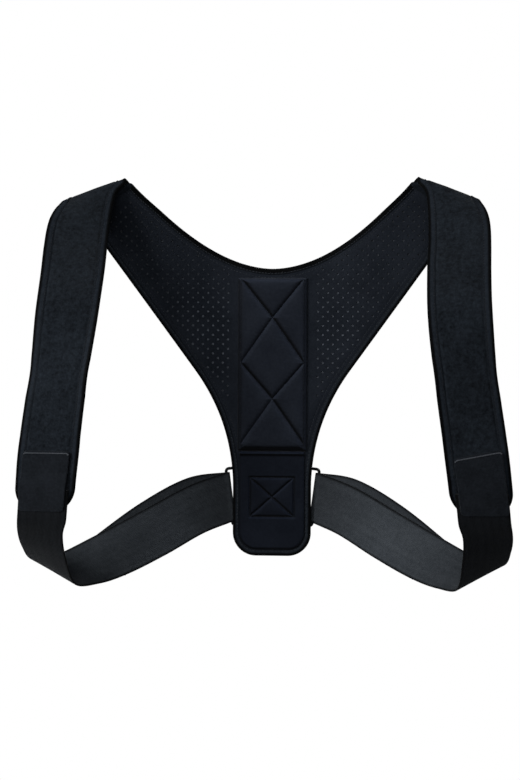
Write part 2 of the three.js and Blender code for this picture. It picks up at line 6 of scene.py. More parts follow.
import bpy
import numpy as np
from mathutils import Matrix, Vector


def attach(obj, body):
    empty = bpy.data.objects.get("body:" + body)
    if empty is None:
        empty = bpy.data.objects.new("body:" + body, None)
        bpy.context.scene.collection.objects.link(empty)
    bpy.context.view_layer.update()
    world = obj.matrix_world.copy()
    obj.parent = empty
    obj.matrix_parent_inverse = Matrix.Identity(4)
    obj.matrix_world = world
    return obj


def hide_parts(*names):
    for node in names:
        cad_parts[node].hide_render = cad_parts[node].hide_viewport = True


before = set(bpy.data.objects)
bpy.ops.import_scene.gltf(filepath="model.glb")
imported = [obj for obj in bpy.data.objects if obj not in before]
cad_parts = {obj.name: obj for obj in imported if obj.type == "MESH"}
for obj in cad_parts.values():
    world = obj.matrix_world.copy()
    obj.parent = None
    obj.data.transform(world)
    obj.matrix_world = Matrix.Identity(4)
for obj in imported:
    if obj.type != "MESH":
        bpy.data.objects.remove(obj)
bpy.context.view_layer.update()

MM = 0.001
MIRROR = np.array([-1, 1, 1])  # turns a place into the one on the other side of the body

# Back panel
PANEL_WALL = 3 * MM
SEAM_NECK = (138 * MM, 84.5 * MM)  # ends of the shoulder seam: out and up
SEAM_LOWER = (185 * MM, 49.5 * MM)
NECK_BOW = 1.86
SEAM_DROP = 2.5 * MM  # how far the seam's neck end sinks under the strap's ridge
DROP_START, DROP_RUN = 108 * MM, 30 * MM  # out along the neck edge, where that begins and how long it grows
TONGUE_HALF = 37.9 * MM
TONGUE_END = 284.4 * MM
TONGUE_CORNER = 22 * MM
FLARE_KNEE = 153 * MM
FLARE_ROUND = 66 * MM
NECK_WRAP, LOWER_WRAP = 33 * MM, 24 * MM
WRAP_START = 38 * MM
WRAP_BOW = 1.7
KNEE = np.array([TONGUE_HALF, -FLARE_KNEE])  # where the tongue's side and the wing's lower edge would meet
LOWER_STEPS = (2, 3, 1, 6, 10)  # foot, corner, tongue side, flare, wing
ALL_STEPS = sum(LOWER_STEPS)
CELL, FINE_CELL = 3.0 * MM, 0.8 * MM  # sizes of the cells of the panel's mesh, and of its edges
EDGE_SQUEEZE = 0.5 * MM  # how far the edge tape presses each face in
SQUEEZE_START, SQUEEZE_RUN = 4.8 * MM, 2.2 * MM  # in from the edge, where that ends and how it eases off
TOPSTITCH_IN = 8 * MM  # edge to the line of stitches beside the tape
TOPSTITCH_DIP, TOPSTITCH_SPREAD = 0.3 * MM, 1.1 * MM
PUFF_HEIGHT, PUFF_SPREAD = 0.25 * MM, 3.5 * MM  # the foam's swelling past the stitches
PUFF_IN = 5 * MM
NET_WALL = 0.2 * MM
NET_SHORT = 0.8  # steps by which the net ends before the seams
BLOT_PLACE, BLOT_REACH = (62 * MM, -60 * MM), (36 * MM, 50 * MM)  # where the net is lighter, and how far that reaches

# Air holes
HOLE_RADIUS = 1.15 * MM
HOLE_ACROSS, HOLE_DOWN = 10 * MM, 9.3 * MM  # cell of the lattice, which has a hole in its middle too
HOLE_START = 45 * MM
HOLE_TOP = 70 * MM
HOLE_ROOM = 10.5 * MM  # least distance to an edge of the panel
HOLE_SIDES = 14
PIN_REACH = 4 * MM

# Edge tape
TAPE_WALL = 0.7 * MM
TAPE_LEG = 5 * MM
STRAP_TAPE_LEG = 7 * MM
TAPE_FOLD = 1.2 * MM
TAPE_STITCH_IN = 1.4 * MM  # end of a leg to its line of stitches
TAPE_PRESS, TAPE_PRESS_SPREAD = 0.22 * MM, 0.7 * MM
TAPE_TUCK = 0.8 * MM  # length of a leg that is turned down at its end
TAPE_REST = 0.1 * MM  # between the tape and the cloth that it folds over
TAPE_DARK, NECK_DARK = 0.9 * MM, 2.4 * MM  # width of the painted shade on a tape's fold, and on the neck tape's
SEAM_TAPE_REACH, SEAM_TAPE_RISE = 4.2 * MM, 2.3 * MM
SEAM_TAPE_AHEAD = 0.6 * MM  # over the strap rather than the panel

# Stitches: pitch, length and radius
PLAIN_STITCH = (3.2 * MM, 2.4 * MM, 0.32 * MM)
QUILT_STITCH = (2.8 * MM, 2.1 * MM, 0.26 * MM)
TAB_STITCH = (1.5 * MM, 1.6 * MM, 0.7 * MM)
QUILT_STITCH_LIFT = 0.15 * MM  # out of the groove
HEM_STITCH_LIFT = 1.6 * MM
BOX_STITCH_LIFT = 0.1 * MM

# Spine pad and lower patch
PAD_HALF = 34.5 * MM
PAD_TOP, PAD_FOOT = -8 * MM, -181 * MM
PAD_CROWN = 5.6 * MM
PAD_GROOVE = 2.4 * MM
QUILT_HALF = 31.5 * MM
HEM_SHALLOW = 1.0 * MM  # the hem's groove is as deep as a quilting line's side this far from it
PILLOW_TURN, PILLOW_BROAD = 4.5 * MM, 16 * MM  # stitch line to the tops of the pillow's two quarter rounds
PUCKER_HEIGHT, PUCKER_REACH = 0.05 * MM, 5 * MM
PUCKER_PITCHES = (4.3 * MM, 5.9 * MM)
PAD_EDGE, PAD_BORDER = 0.8 * MM, 3 * MM  # height at the pad's edge, and how far in it rises
BORDER_PROUD, BORDER_LIP = 1.5 * MM, 0.4 * MM  # most that it stands over the groove, and over the pillow
QUILT_HEIGHTS = np.array([-9, -48, -93, -129, -174]) * MM  # of the lines' outer ends and crossings
QUILT_OUTS = np.array([1, 0, 1, 0, 1]) * QUILT_HALF
QUILT_STEEP = QUILT_HALF / (42 * MM)
QUILT_FOOT = PAD_FOOT + 2 * MM
PLATE_BACK = 0.2 * MM - PANEL_WALL / 2  # y of the backs of the pad and the patch, a little inside the panel
PATCH_WALL = 2.2 * MM
PATCH_CLEAR = 0.4 * MM  # to the tape's leg
PATCH_PRESS, PATCH_PRESS_SPREAD = 1.3 * MM, 1.0 * MM  # depth and width of the stitch lines in it
PATCH_RIM, PATCH_RIM_RUN = 0.9 * MM, 2.2 * MM  # how far its rim falls, and how far in that starts
ROLL_HEIGHT, ROLL_DOWN, ROLL_SPREAD = 1.1 * MM, 2.2 * MM, 1.6 * MM  # the rolled top edge of the patch
BOX_PUFF, BOX_PUFF_TURN = 0.7 * MM, 8 * MM
BOX_HALF, BOX_HALF_UP = 22 * MM, 19.5 * MM
BOX_MIDDLE = -227 * MM
SLOPE_LIGHT_WAY = np.array([0.35, 0, 1.0])  # painted light and shade: faces that slope up this way are painted lighter, those that slope down darker
SLOPE_LIGHT_FULL = 0.36

# Shoulder strap
REACH = 235 * MM
CHEST_DEPTH = 146 * MM
STRAP_DROP = 304 * MM
STRAP_WIDTH = 57.5 * MM
STRAP_WALL = 3.5 * MM
STRAP_CORNER = 25 * MM
STRAP_EDGE = STRAP_WIDTH / 2
STRAP_STEPS = 180
STRAP_SQUEEZE, STRAP_SQUEEZE_RUN = 0.75 * MM, 2.6 * MM
STRAP_CROWN = 0.35 * MM
SEAM_GAP = 1.9 * MM
SEAM_UNDER = 0.011  # share of the strap that goes on under the seam's tape

# Webbing, tab and ring
WEB_HANG = 60 * MM
WEB_WIDTH = 50 * MM
WEB_WALL = 1.7 * MM
STRAP_LIFT = 3.15 * MM  # from the strap's middle surface to what lies on its face
WEB_LIFT = STRAP_LIFT + 0.9 * MM
WEB_LAP, WEB_LAP_REST = 24 * MM, 8 * MM  # places of the webbing under the tab, before the strap's end
WEB_LAP_PAST = 6 * MM  # and its next place, past it
TURN_RADIUS = 2.7 * MM  # round the ring's bar
RETURN_GAP = 0.3 * MM
WEB_ROWS, TURN_ROWS, RETURN_ROWS = 189, 15, 59
WEB_LIGHT_FROM = 80 * MM  # before the ring, where the painted light on the webbing is brightest
WEB_LIGHT_NEAR, WEB_LIGHT_FAR = 50 * MM, 95 * MM  # how far that reaches, to the ring and to the strap
WEB_LIGHT_TONES = (0.55, 1.08)  # factors of the colour where the painted light is weakest and brightest
# painted shade: the webbing's factor past the ring, where it lies back over itself
RETURN_SHADE = 0.7
WEB_RIM_SHADE = 0.1  # painted shade at both edges
WEB_RIM_IN, WEB_RIM_RUN = 2.4 * MM, 1.8 * MM  # in from an edge, where the rim starts, and how it darkens
RETURN_RISE = 9 * MM
RETURN_SHARE = 0.31
TAB_WIDTH, TAB_LENGTH = 46 * MM, 56 * MM
TAB_WALL = 1.5 * MM
TAB_SHIFT = 0.8 * MM
TAB_END = 3 * MM
TAB_CLEAR = 0.7 * MM  # over the webbing's end
TAB_CORNER = 4 * MM
TAB_STEP_START = 3 * MM  # above the webbing's end, where the tab begins to come down to the strap
TAB_STEP = 14 * MM
TAB_TILT = 0.17  # slope of the top edge of the tab on the wearer's left
TAB_TOP_ROUND, TAB_FOOT_ROUND = 0.8 * MM, 6 * MM  # lengths over which its ends thin out
RING_WIRE = 3 * MM
RING_BARS = 17 * MM
RING_HEIGHT = 57 * MM
RING_CORNER = 3 * MM
RING_LEAN = math.radians(7.5)
RING_MIDDLE = np.array([35, 6.5, -226.5]) * MM

# Stage, light and camera
DOME_RADIUS = 9.0
FLOOR_RADIUS, FLOOR_TOP, FLOOR_WALL = 3.0, -0.9, 0.02
COOL = (0.96, 0.99, 1.02)
ROOM_COLOUR = (0.86, 0.93, 1.0, 1)
CAMERA_AWAY = 1.9
CAMERA_YAW = math.radians(5.0)
CAMERA_ROLL = math.radians(-0.3)
CAMERA_TARGET = np.array([-12.5, 0, -120]) * MM
FRAME_HEIGHT = 0.78  # what the picture's height shows at the target
SENSOR_MM = 36

# Strap sections: shares of the way out, forward and down, then the width's yaw and dip in degrees
STRAP_SECTIONS = np.array([
    [0.165, 0.12, -0.027, -14, 23],  # shoulder ridge
    [0.215, 0.19, -0.002, -20, 20],
    [0.26, 0.3, 0.053, -22, 14],  # collarbone
    [0.287, 0.455, 0.145, -20, 7],
    [0.29, 0.64, 0.245, -10, 1],
    [0.302, 0.85, 0.372, -2, 0],  # chest
    [0.353, 0.94, 0.52, 12, 0],
    [0.418, 0.957, 0.641, 12, 0],
    [0.492, 0.925, 0.763, 9, 0],  # ribs
    [0.56, 0.87, 0.888, 9, 0],
    [0.612, 0.8, 1, 11, 0],  # strap end
])
# Webbing sections: the same, down from the strap's end to the lowest bend and up again to the ring
DROP_SECTIONS = np.array([
    [0.875, 0.8, 0.34, 20, 0],
    [0.872, 0.716, 0.62, 22, -8],
    [0.84, 0.546, 1, 9, -28],  # lowest bend
])
RISE_SECTIONS = np.array([
    [0.742, 0.42, 0.985, 4, -34],
    [0.57, 0.318, 0.785, 14, -50],  # side of the waist
    [0.366, 0.207, 0.493, 14, -62],
    [0.156, 0.105, 0.174, 12, -74],  # near the ring
])


def mix(a, b, share):
    """The place a share of the way from a to b."""
    return a + (b - a) * share


def eased(share):
    """A share that starts and ends gently: three times its square less twice its cube."""
    share = np.clip(share, 0, 1)
    return share * share * (3 - 2 * share)


def risen(value, start, run):
    """0 up to the start and 1 from a run past it, eased between."""
    return eased((value - start) / run)


def bell(value, middle, width):
    """A bell curve, 1 at the middle: the exponential of less the square of the way in widths."""
    return np.exp(-(((value - middle) / width) ** 2))


def quarter_round(gap, radius):
    """The rise of a quarter circle: 0 at no gap, steep at first, and 1 from the radius on."""
    return np.sqrt(1 - (1 - np.clip(gap / radius, 0, 1)) ** 2)


def corner_cut(across, half, radius):
    """How much an end's round corners take off its length, at a place across it."""
    past = np.maximum(0, np.abs(across) - (half - radius))
    return radius - np.sqrt(np.maximum(0, radius**2 - past**2))


def way_along(line):
    """The length of a line of points up to each of them."""
    return np.concatenate([[0], np.cumsum(np.linalg.norm(np.diff(line, axis=0), axis=1))])


def unit(vectors):
    """The vectors at length 1."""
    return vectors / np.linalg.norm(vectors, axis=-1, keepdims=True)


def point(x, y, z):
    """Places from numbers or grids of x, y and z."""
    return np.stack(np.broadcast_arrays(x, y, z), axis=-1).astype(float)


# Meshes


def lay_mesh(name, points, faces, uv=None):
    """Puts whole arrays of corners and of faces, one array for each number of corners, into a mesh."""
    mesh = bpy.data.meshes.new(name)
    loops = np.concatenate([f.ravel() for f in faces]).astype(np.int32)
    widths = np.concatenate([np.full(len(f), f.shape[1]) for f in faces])
    starts = np.concatenate([[0], np.cumsum(widths)[:-1]]).astype(np.int32)
    mesh.vertices.add(len(points))
    mesh.vertices.foreach_set("co", np.asarray(points, np.float32).ravel())
    mesh.loops.add(len(loops))
    mesh.loops.foreach_set("vertex_index", loops)
    mesh.polygons.add(len(starts))
    mesh.polygons.foreach_set("loop_start", starts)
    mesh.polygons.foreach_set("use_smooth", np.ones(len(starts), bool))
    mesh.update(calc_edges=True)
    if uv is not None:
        layer = mesh.uv_layers.new(name="cut")
        layer.data.foreach_set("uv", np.asarray(uv, np.float32)[loops].ravel())
    mesh.validate()
    return mesh


def mark(mesh, name, values):
    """Stores one number for each corner of the mesh, for its material."""
    layer = mesh.attributes.new(name, "FLOAT", "POINT")
    layer.data.foreach_set("value", np.ascontiguousarray(values, np.float32).ravel())


def next_round(numbers):
    """The corner numbers of loops, each moved on by one."""
    return np.roll(numbers, -1, axis=1)


def outward(points, faces):
    """Turns all faces round if the volume that they enclose comes out negative."""
    volume = 0.0
    for f in faces:
        for k in range(1, f.shape[1] - 1):
            a, b, c = points[f[:, 0]], points[f[:, k]], points[f[:, k + 1]]
            volume += np.einsum("ij,ij->", a, np.cross(b, c))
    return [f[:, ::-1] for f in faces] if volume < 0 else faces


def put(name, data):
    """A new object in the scene."""
    thing = bpy.data.objects.new(name, data)
    bpy.context.scene.collection.objects.link(thing)
    return thing


def dressed(name, mesh, material, nodes=(), sharp=50):
    """A piece of the brace, with its material and slot, in place of the nodes that it stands for. Edges
    sharper than that many degrees stay sharp."""
    mesh.set_sharp_from_angle(angle=math.radians(sharp))
    mesh.materials.append(material)
    piece = put(name, mesh)
    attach(piece, "root")
    if nodes:
        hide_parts(*nodes)
    return piece


def shell_mesh(name, front, back, uv=None):
    """A closed wall between two grids of points of the same size, joined round their rims."""
    rows, columns = front.shape[:2]
    number = np.arange(rows * columns).reshape(rows, columns)
    quads = np.stack([number[:-1, :-1], number[1:, :-1], number[1:, 1:], number[:-1, 1:]], -1)
    quads = quads.reshape(-1, 4)
    rim = np.concatenate([number[0, :-1], number[:-1, -1], number[-1, :0:-1], number[:0:-1, 0]])
    after = np.roll(rim, -1)
    far = rows * columns
    sides = np.stack([rim, after, after + far, rim + far], -1)
    points = np.concatenate([front.reshape(-1, 3), back.reshape(-1, 3)])
    faces = outward(points, [np.concatenate([quads, quads[:, ::-1] + far, sides])])
    if uv is not None:
        uv = np.concatenate([uv.reshape(-1, 2)] * 2)
    return lay_mesh(name, points, faces, uv)


def tube_mesh(name, loops, closed=False):
    """A closed skin over loops of points, an array of loop, place, xyz. A closed tube joins its ends."""
    rings, count = loops.shape[:2]
    number = np.arange(rings * count).reshape(rings, count)
    here = number if closed else number[:-1]
    there = np.roll(number, -1, axis=0) if closed else number[1:]
    quads = np.stack([here, there, next_round(there), next_round(here)], -1).reshape(-1, 4)
    faces = [quads] if closed else [quads, np.stack([number[0], number[-1][::-1]])]
    points = loops.reshape(-1, 3)
    return lay_mesh(name, points, outward(points, faces))


def grid_normals(grid):
    """The normal at each point of a grid: the way along the rows crossed with the way across them."""
    return unit(np.cross(np.gradient(grid, axis=0), np.gradient(grid, axis=1)))


def cloth_mesh(name, grid, half_wall, uv=None):
    """A wall of cloth: the grid moved by half_wall along its normals, to both sides."""
    lift = grid_normals(grid) * np.broadcast_to(half_wall, grid.shape[:2])[..., None]
    return shell_mesh(name, grid + lift, grid - lift, uv)


def rounded_shares(width, wall, inner, turns=4):
    """Places across a band with a rounded edge, and how full its wall is there: sine and cosine of a
    quarter turn of the wall's own radius at each edge, and even steps between."""
    angle = np.linspace(math.pi / 2, 0, turns + 1)[:-1]
    radius = wall / 2
    edge = width / 2 - radius + radius * np.sin(angle)
    even = np.linspace(-1, 1, inner) * (width / 2 - radius)
    places = np.concatenate([-edge, even, edge[::-1]])
    fullness = np.concatenate([np.cos(angle), np.ones(inner), np.cos(angle)[::-1]])
    return places, np.maximum(fullness, 0.06)


def mirrored(mesh, name):
    """The same mesh on the other side of the body."""
    other = mesh.copy()
    other.name = name
    places = np.empty(len(other.vertices) * 3, np.float32)
    other.vertices.foreach_get("co", places)
    places[0::3] *= -1
    other.vertices.foreach_set("co", places)
    other.flip_normals()
    return other


def pair(name, mesh, material, nodes=(), sharp=50):
    """The piece on the wearer's left, +X, and its mirror image on the right."""
    other = mirrored(mesh, name + "_right")
    left = dressed(name + "_left", mesh, material, [n + "_left" for n in nodes], sharp)
    right = dressed(name + "_right", other, material, [n + "_right" for n in nodes], sharp)
    return left, right


# Materials


def add(tree, kind, inputs=(), **settings):
    """A node with its settings, each input linked if a socket is given and set otherwise."""
    node = tree.nodes.new(kind)
    for key, value in settings.items():
        setattr(node, key, value)
    for key, value in dict(inputs).items():
        if isinstance(value, bpy.types.NodeSocket):
            tree.links.new(value, node.inputs[key])
        else:
            node.inputs[key].default_value = value
    return node


def sums(tree, operation, *values):
    """One step of arithmetic on sockets and numbers."""
    return add(tree, "ShaderNodeMath", dict(enumerate(values)), operation=operation).outputs[0]


def weighed(tree, *parts):
    """The sum of several values, each times its weight."""
    total = 0.0
    for value, weight in parts:
        total = sums(tree, "MULTIPLY_ADD", value, weight, total)
    return total


def toned(tree, share, tones):
    """A colour between the dark tone, at 0, and the light one, at 1."""
    dark, light = tones
    inputs = {0: share, 6: (*dark, 1), 7: (*light, 1)}
    return add(tree, "ShaderNodeMix", inputs, data_type="RGBA").outputs[2]


def grain(tree, place, size, detail=3.0, rough=0.6):
    """Noise whose blobs are about as wide as size."""
    inputs = {"Vector": place, "Scale": 0.5 / size, "Detail": detail, "Roughness": rough}
    return add(tree, "ShaderNodeTexNoise", inputs).outputs["Fac"]


def ripple(tree, distance, pitch):
    """A wave from 0 to 1 that repeats at each pitch of a distance."""
    turn = sums(tree, "MULTIPLY", distance, 2 * math.pi / pitch)
    return sums(tree, "MULTIPLY_ADD", sums(tree, "SINE", turn), 0.5, 0.5)


def contrast(tree, value, low, high):
    """The value spread so that low gives 0 and high gives 1."""
    inputs = {"Value": value, "From Min": low, "From Max": high}
    return add(tree, "ShaderNodeMapRange", inputs).outputs["Result"]


def spread(tree, value, low, high):
    """A value from 0 to 1 made to run from low to high."""
    inputs = {"Value": value, "To Min": low, "To Max": high}
    return add(tree, "ShaderNodeMapRange", inputs).outputs["Result"]


def axes(tree, place):
    """The three numbers of a place."""
    return list(add(tree, "ShaderNodeSeparateXYZ", {"Vector": place}).outputs)


def marked(tree, name):
    """The number that the mesh stores under that name, as mark puts it there."""
    return add(tree, "ShaderNodeAttribute", attribute_name=name).outputs["Fac"]


def scaled(tree, colour, factor):
    """The colour times a number."""
    return add(tree, "ShaderNodeVectorMath", {0: colour, "Scale": factor}, operation="SCALE").outputs[0]


def start_material(name, roughness, sheen=0.0, specular=0.07):
    """A material with its shader set, and its object and UV coordinates."""
    material = bpy.data.materials.new(name)
    material.use_nodes = True
    tree = material.node_tree
    shader = tree.nodes["Principled BSDF"]
    shader.inputs["Roughness"].default_value = roughness
    shader.inputs["Specular IOR Level"].default_value = specular
    shader.inputs["Sheen Weight"].default_value = sheen
    shader.inputs["Sheen Roughness"].default_value = 0.5
    coordinates = tree.nodes.new("ShaderNodeTexCoord")
    return material, tree, shader, coordinates.outputs["Object"], coordinates.outputs["UV"]


def finish_material(tree, shader, colour, height, depth):
    """Links the colour, and the height as a bump of that depth."""
    tree.links.new(colour, shader.inputs["Base Color"])
    bump = add(tree, "ShaderNodeBump", {"Height": height, "Strength": 1.0, "Distance": depth})
    tree.links.new(bump.outputs["Normal"], shader.inputs["Normal"])


def panel_fabric(tones):
    """Knitted jersey on foam: columns and courses of fine stitches with a soft, uneven black."""
    material, tree, shader, place, _ = start_material("panel fabric", 0.7, 0.08)
    x, y, z = axes(tree, place)
    knit = sums(tree, "MULTIPLY", ripple(tree, x, 1.0 * MM), ripple(tree, z, 0.8 * MM))
    fuzz = grain(tree, place, 1.2 * MM)
    shade = weighed(tree, (grain(tree, place, 22 * MM, 2.0), 0.6), (fuzz, 0.5))
    colour = toned(tree, contrast(tree, shade, 0.35, 0.75), tones)
    finish_material(tree, shader, colour, weighed(tree, (fuzz, 1.0), (knit, 0.35)), 0.25 * MM)
    return material


def pad_fabric(name, tones):
    """Smooth matt cloth with a fine plain weave, painted lighter where its face slopes up and darker where
    it slopes down.
    """
    material, tree, shader, place, _ = start_material(name, 0.65, 0.08)
    x, y, z = axes(tree, place)
    weave = sums(tree, "MULTIPLY", ripple(tree, x, 0.7 * MM), ripple(tree, z, 0.7 * MM))
    fuzz = grain(tree, place, 1.6 * MM)
    shade = weighed(tree, (grain(tree, place, 16 * MM, 2.0), 0.6), (fuzz, 0.45))
    colour = toned(tree, contrast(tree, shade, 0.35, 0.75), tones)
    # painted light and shade: the colour is scaled by the face's slope, lighter where it faces up
    slope_light = spread(tree, contrast(tree, marked(tree, "painted_slope_light"), -1.0, 1.0), 0.1, 2.0)
    height = weighed(tree, (fuzz, 1.0), (weave, 0.12))
    finish_material(tree, shader, scaled(tree, colour, slope_light), height, 0.18 * MM)
    return material


def loop_fabric(tones):
    """Brushed loops: tufts of two sizes, lighter on their tops, over a black ground."""
    material, tree, shader, place, _ = start_material("loop fabric", 0.8, 0.12)
    tufts = grain(tree, place, 2.1 * MM, 4.0, 0.7)
    fine = grain(tree, place, 0.55 * MM, 2.0)
    specks = contrast(tree, grain(tree, place, 1.1 * MM, 2.0), 0.3, 0.7)
    shade = weighed(tree, (grain(tree, place, 12 * MM, 3.0), 0.3), (tufts, 0.8), (specks, 0.14))
    colour = toned(tree, contrast(tree, shade, 0.41, 0.82), tones)
    finish_material(tree, shader, colour, weighed(tree, (tufts, 1.0), (fine, 0.35)), 0.9 * MM)
    return material


def tape_fabric(tones):
    """Smooth knitted edge tape with a diagonal twill, its colour scaled by painted light and shade: painted
    shade on the fold, lighter on the legs.
    """
    material, tree, shader, place, _ = start_material("edge tape", 0.6, 0.04)
    x, y, z = axes(tree, place)
    twill = ripple(tree, weighed(tree, (y, 0.7), (z, 1.0), (x, 1.0)), 0.9 * MM)
    fuzz = grain(tree, place, 1.5 * MM)
    colour = toned(tree, contrast(tree, fuzz, 0.3, 0.75), tones)
    # painted light and shade: the colour runs from nearly black on the fold to lighter on the legs
    fold_shading = spread(tree, marked(tree, "worn"), 0.03, 1.35)
    height = weighed(tree, (fuzz, 1.0), (twill, 0.6))
    finish_material(tree, shader, scaled(tree, colour, fold_shading), height, 0.12 * MM)
    return material


def elastic_webbing(name, tones, banded):
    """Woven elastic: ribs along the webbing crossed by fine picks, a thread's uneven shade, and broad bands
    of that weight along it. Its colour is scaled by a mark of painted light and shade."""
    material, tree, shader, place, cut = start_material(name, 0.6, 0.1)
    across, along, _ = axes(tree, cut)
    drawn_out = add(tree, "ShaderNodeMapping", {"Vector": cut, "Scale": (1.0, 0.06, 1.0)}).outputs["Vector"]
    streaks = grain(tree, drawn_out, 2.5 * MM, 3.0)
    fuzz = grain(tree, place, 1.4 * MM)
    cloud = grain(tree, place, 11 * MM, 2.0)
    bands = ripple(tree, across, 8.3 * MM)
    shade = weighed(tree, (fuzz, 0.45), (streaks, 0.3), (cloud, 0.35), (bands, banded))
    colour = toned(tree, contrast(tree, shade, 0.38, 0.72), tones)
    ribs, picks = ripple(tree, across, 1.5 * MM), ripple(tree, along, 0.8 * MM)
    height = weighed(tree, (picks, 0.4), (ribs, 0.6), (fuzz, 0.5))
    # painted light and shade scale the colour
    finish_material(tree, shader, scaled(tree, colour, marked(tree, "painted_web_light")), height, 0.22 * MM)
    return material


def hook_fabric(tones):
    """Rows of tiny stiff hooks on a black ground."""
    material, tree, shader, place, cut = start_material("hook fabric", 0.7, 0.1)
    across, along, _ = axes(tree, cut)
    hooks = sums(tree, "MULTIPLY", ripple(tree, across, 1.3 * MM), ripple(tree, along, 1.3 * MM))
    fuzz = grain(tree, place, 1.3 * MM)
    shade = weighed(tree, (grain(tree, place, 9 * MM, 2.0), 0.5), (fuzz, 0.6))
    colour = toned(tree, contrast(tree, shade, 0.4, 0.8), tones)
    finish_material(tree, shader, colour, weighed(tree, (fuzz, 1.0), (hooks, 0.7)), 0.45 * MM)
    return material


def wire_paint(tones):
    """Black paint on wire, with a faint orange-peel and worn, smoother patches."""
    material, tree, shader, place, _ = start_material("black wire", 0.5, specular=0.25)
    wear = contrast(tree, grain(tree, place, 5 * MM, 4.0), 0.45, 0.75)
    finish_material(tree, shader, toned(tree, wear, tones), grain(tree, place, 0.8 * MM), 0.03 * MM)
    return material


def thread(name, tones):
    """Twisted sewing thread."""
    material, tree, shader, place, _ = start_material(name, 0.5, 0.1)
    ply = grain(tree, place, 0.4 * MM)
    finish_material(tree, shader, toned(tree, ply, tones), ply, 0.08 * MM)
    return material


def net_fabric(tones):
    """Open grey net: small bright threads round darker meshes, lighter where its tone mark is higher."""
    material, tree, shader, place, _ = start_material("spacer net", 0.7, 0.1)
    x, y, z = axes(tree, place)
    net = sums(tree, "MAXIMUM", ripple(tree, x, 0.9 * MM), ripple(tree, z, 0.9 * MM))
    colour = scaled(tree, toned(tree, net, tones), marked(tree, "net_tone"))
    finish_material(tree, shader, colour, net, 0.1 * MM)
    return material


# Each with its dark and its light tone, linear
PANEL = panel_fabric(((0.0085, 0.0110, 0.0162), (0.0200, 0.0240, 0.0325)))
NET = net_fabric(((0.07, 0.078, 0.095), (0.21, 0.225, 0.26)))
PAD = pad_fabric("pad fabric", ((0.0105, 0.0130, 0.0200), (0.0210, 0.0250, 0.0350)))
PATCH = pad_fabric("patch fabric", ((0.0052, 0.0070, 0.0125), (0.0108, 0.0138, 0.0220)))
LOOP = loop_fabric(((0.0034, 0.0048, 0.0070), (0.0235, 0.0298, 0.0388)))
TAPE = tape_fabric(((0.0100, 0.0130, 0.0178), (0.0200, 0.0245, 0.0315)))
WEB_OUTER = elastic_webbing("webbing outer face", ((0.0075, 0.0088, 0.0110), (0.0180, 0.0200, 0.0240)), 0.14)
WEB_INNER = elastic_webbing("webbing inner face", ((0.043, 0.049, 0.056), (0.080, 0.088, 0.098)), 0.03)
HOOK = hook_fabric(((0.009, 0.011, 0.0145), (0.021, 0.0245, 0.031)))
WIRE = wire_paint(((0.0022, 0.0024, 0.0028), (0.0050, 0.0054, 0.0062)))
BLACK_THREAD = thread("black thread", ((0.006, 0.007, 0.009), (0.02, 0.022, 0.026)))
SOOT_THREAD = thread("soot thread", ((0.012, 0.0145, 0.018), (0.060, 0.066, 0.078)))
GREY_THREAD = thread("grey thread", ((0.06, 0.066, 0.076), (0.17, 0.18, 0.20)))


# Panel


def neck_rise(x):
    """The neck edge's height: a power of the way out to the seam."""
    return SEAM_NECK[1] * (np.maximum(x, 0) / SEAM_NECK[0]) ** NECK_BOW


def lower_edge(q):
    """The lower edge from the middle of the tongue's foot to the shoulder seam: foot, corner arc, side,
    quadratic flare and straight wing, with q counting the steps of each in turn."""
    seam = np.array(SEAM_LOWER)
    flare_start = KNEE - [0, FLARE_ROUND]
    flare_end = KNEE + FLARE_ROUND * unit(seam - KNEE)
    corner_x, corner_z = TONGUE_HALF - TONGUE_CORNER, TONGUE_CORNER - TONGUE_END
    ends = np.cumsum(LOWER_STEPS)
    starts = ends - LOWER_STEPS
    shares = (np.clip((q - s) / n, 0, 1)[..., None] for s, n in zip(starts, LOWER_STEPS))
    foot, corner, side, flare, wing = shares
    angle = -math.pi / 2 * (1 - corner)
    arc = TONGUE_CORNER * np.concatenate([np.cos(angle), np.sin(angle)], -1)
    bend = (1 - flare) ** 2 * flare_start + 2 * flare * (1 - flare) * KNEE + flare**2 * flare_end
    places = [
        mix(np.array([0, -TONGUE_END]), np.array([corner_x, -TONGUE_END]), foot),
        arc + [corner_x, corner_z],
        mix(np.array([TONGUE_HALF, corner_z]), flare_start, side),
        bend,
        mix(flare_end, seam, wing),
    ]
    which = np.searchsorted(ends, q, side="left").clip(0, 4)
    return np.choose(which[..., None], places)


def panel_place(q, share):
    """The panel's middle surface: q along the lower edge's steps, negative on the wearer's right, and a
    share of the way down from the neck edge. It comes forward as a power of the way to the seam."""
    side, q = np.sign(q), np.abs(q)
    neck_x = SEAM_NECK[0] * q / ALL_STEPS
    lower = lower_edge(q)
    x = mix(neck_x, lower[..., 0], share)
    z = mix(neck_rise(neck_x), lower[..., 1], share)
    z = z - SEAM_DROP * risen(neck_x, DROP_START, DROP_RUN) * (1 - share) ** 4
    seam_out = mix(SEAM_NECK[0], SEAM_LOWER[0], share)
    way = np.maximum(0, (x - WRAP_START) / (seam_out - WRAP_START))
    y = -mix(NECK_WRAP, LOWER_WRAP, share) * way**WRAP_BOW
    return point(np.where(side < 0, -x, x), y, z)


def distance_to(line, places):
    """Distance in x and z from each place to the nearest point of a line of points."""
    flat = places.reshape(-1, 3)
    best = np.full(len(flat), 1e9)
    for start in range(0, len(line), 64):
        part = line[start:start + 64]
        gap = flat[:, None, ::2] - part[None, :, ::2]
        best = np.minimum(best, np.sqrt((gap**2).sum(-1)).min(1))
    return best.reshape(places.shape[:-1])


def lower_columns(cell):
    """Values of q whose places on the lower edge are about a cell apart."""
    fine = np.linspace(0, ALL_STEPS, 2201)
    way = way_along(lower_edge(fine))
    count = int(round(way[-1] / cell))
    return np.interp(np.linspace(0, way[-1], count + 1), way, fine)


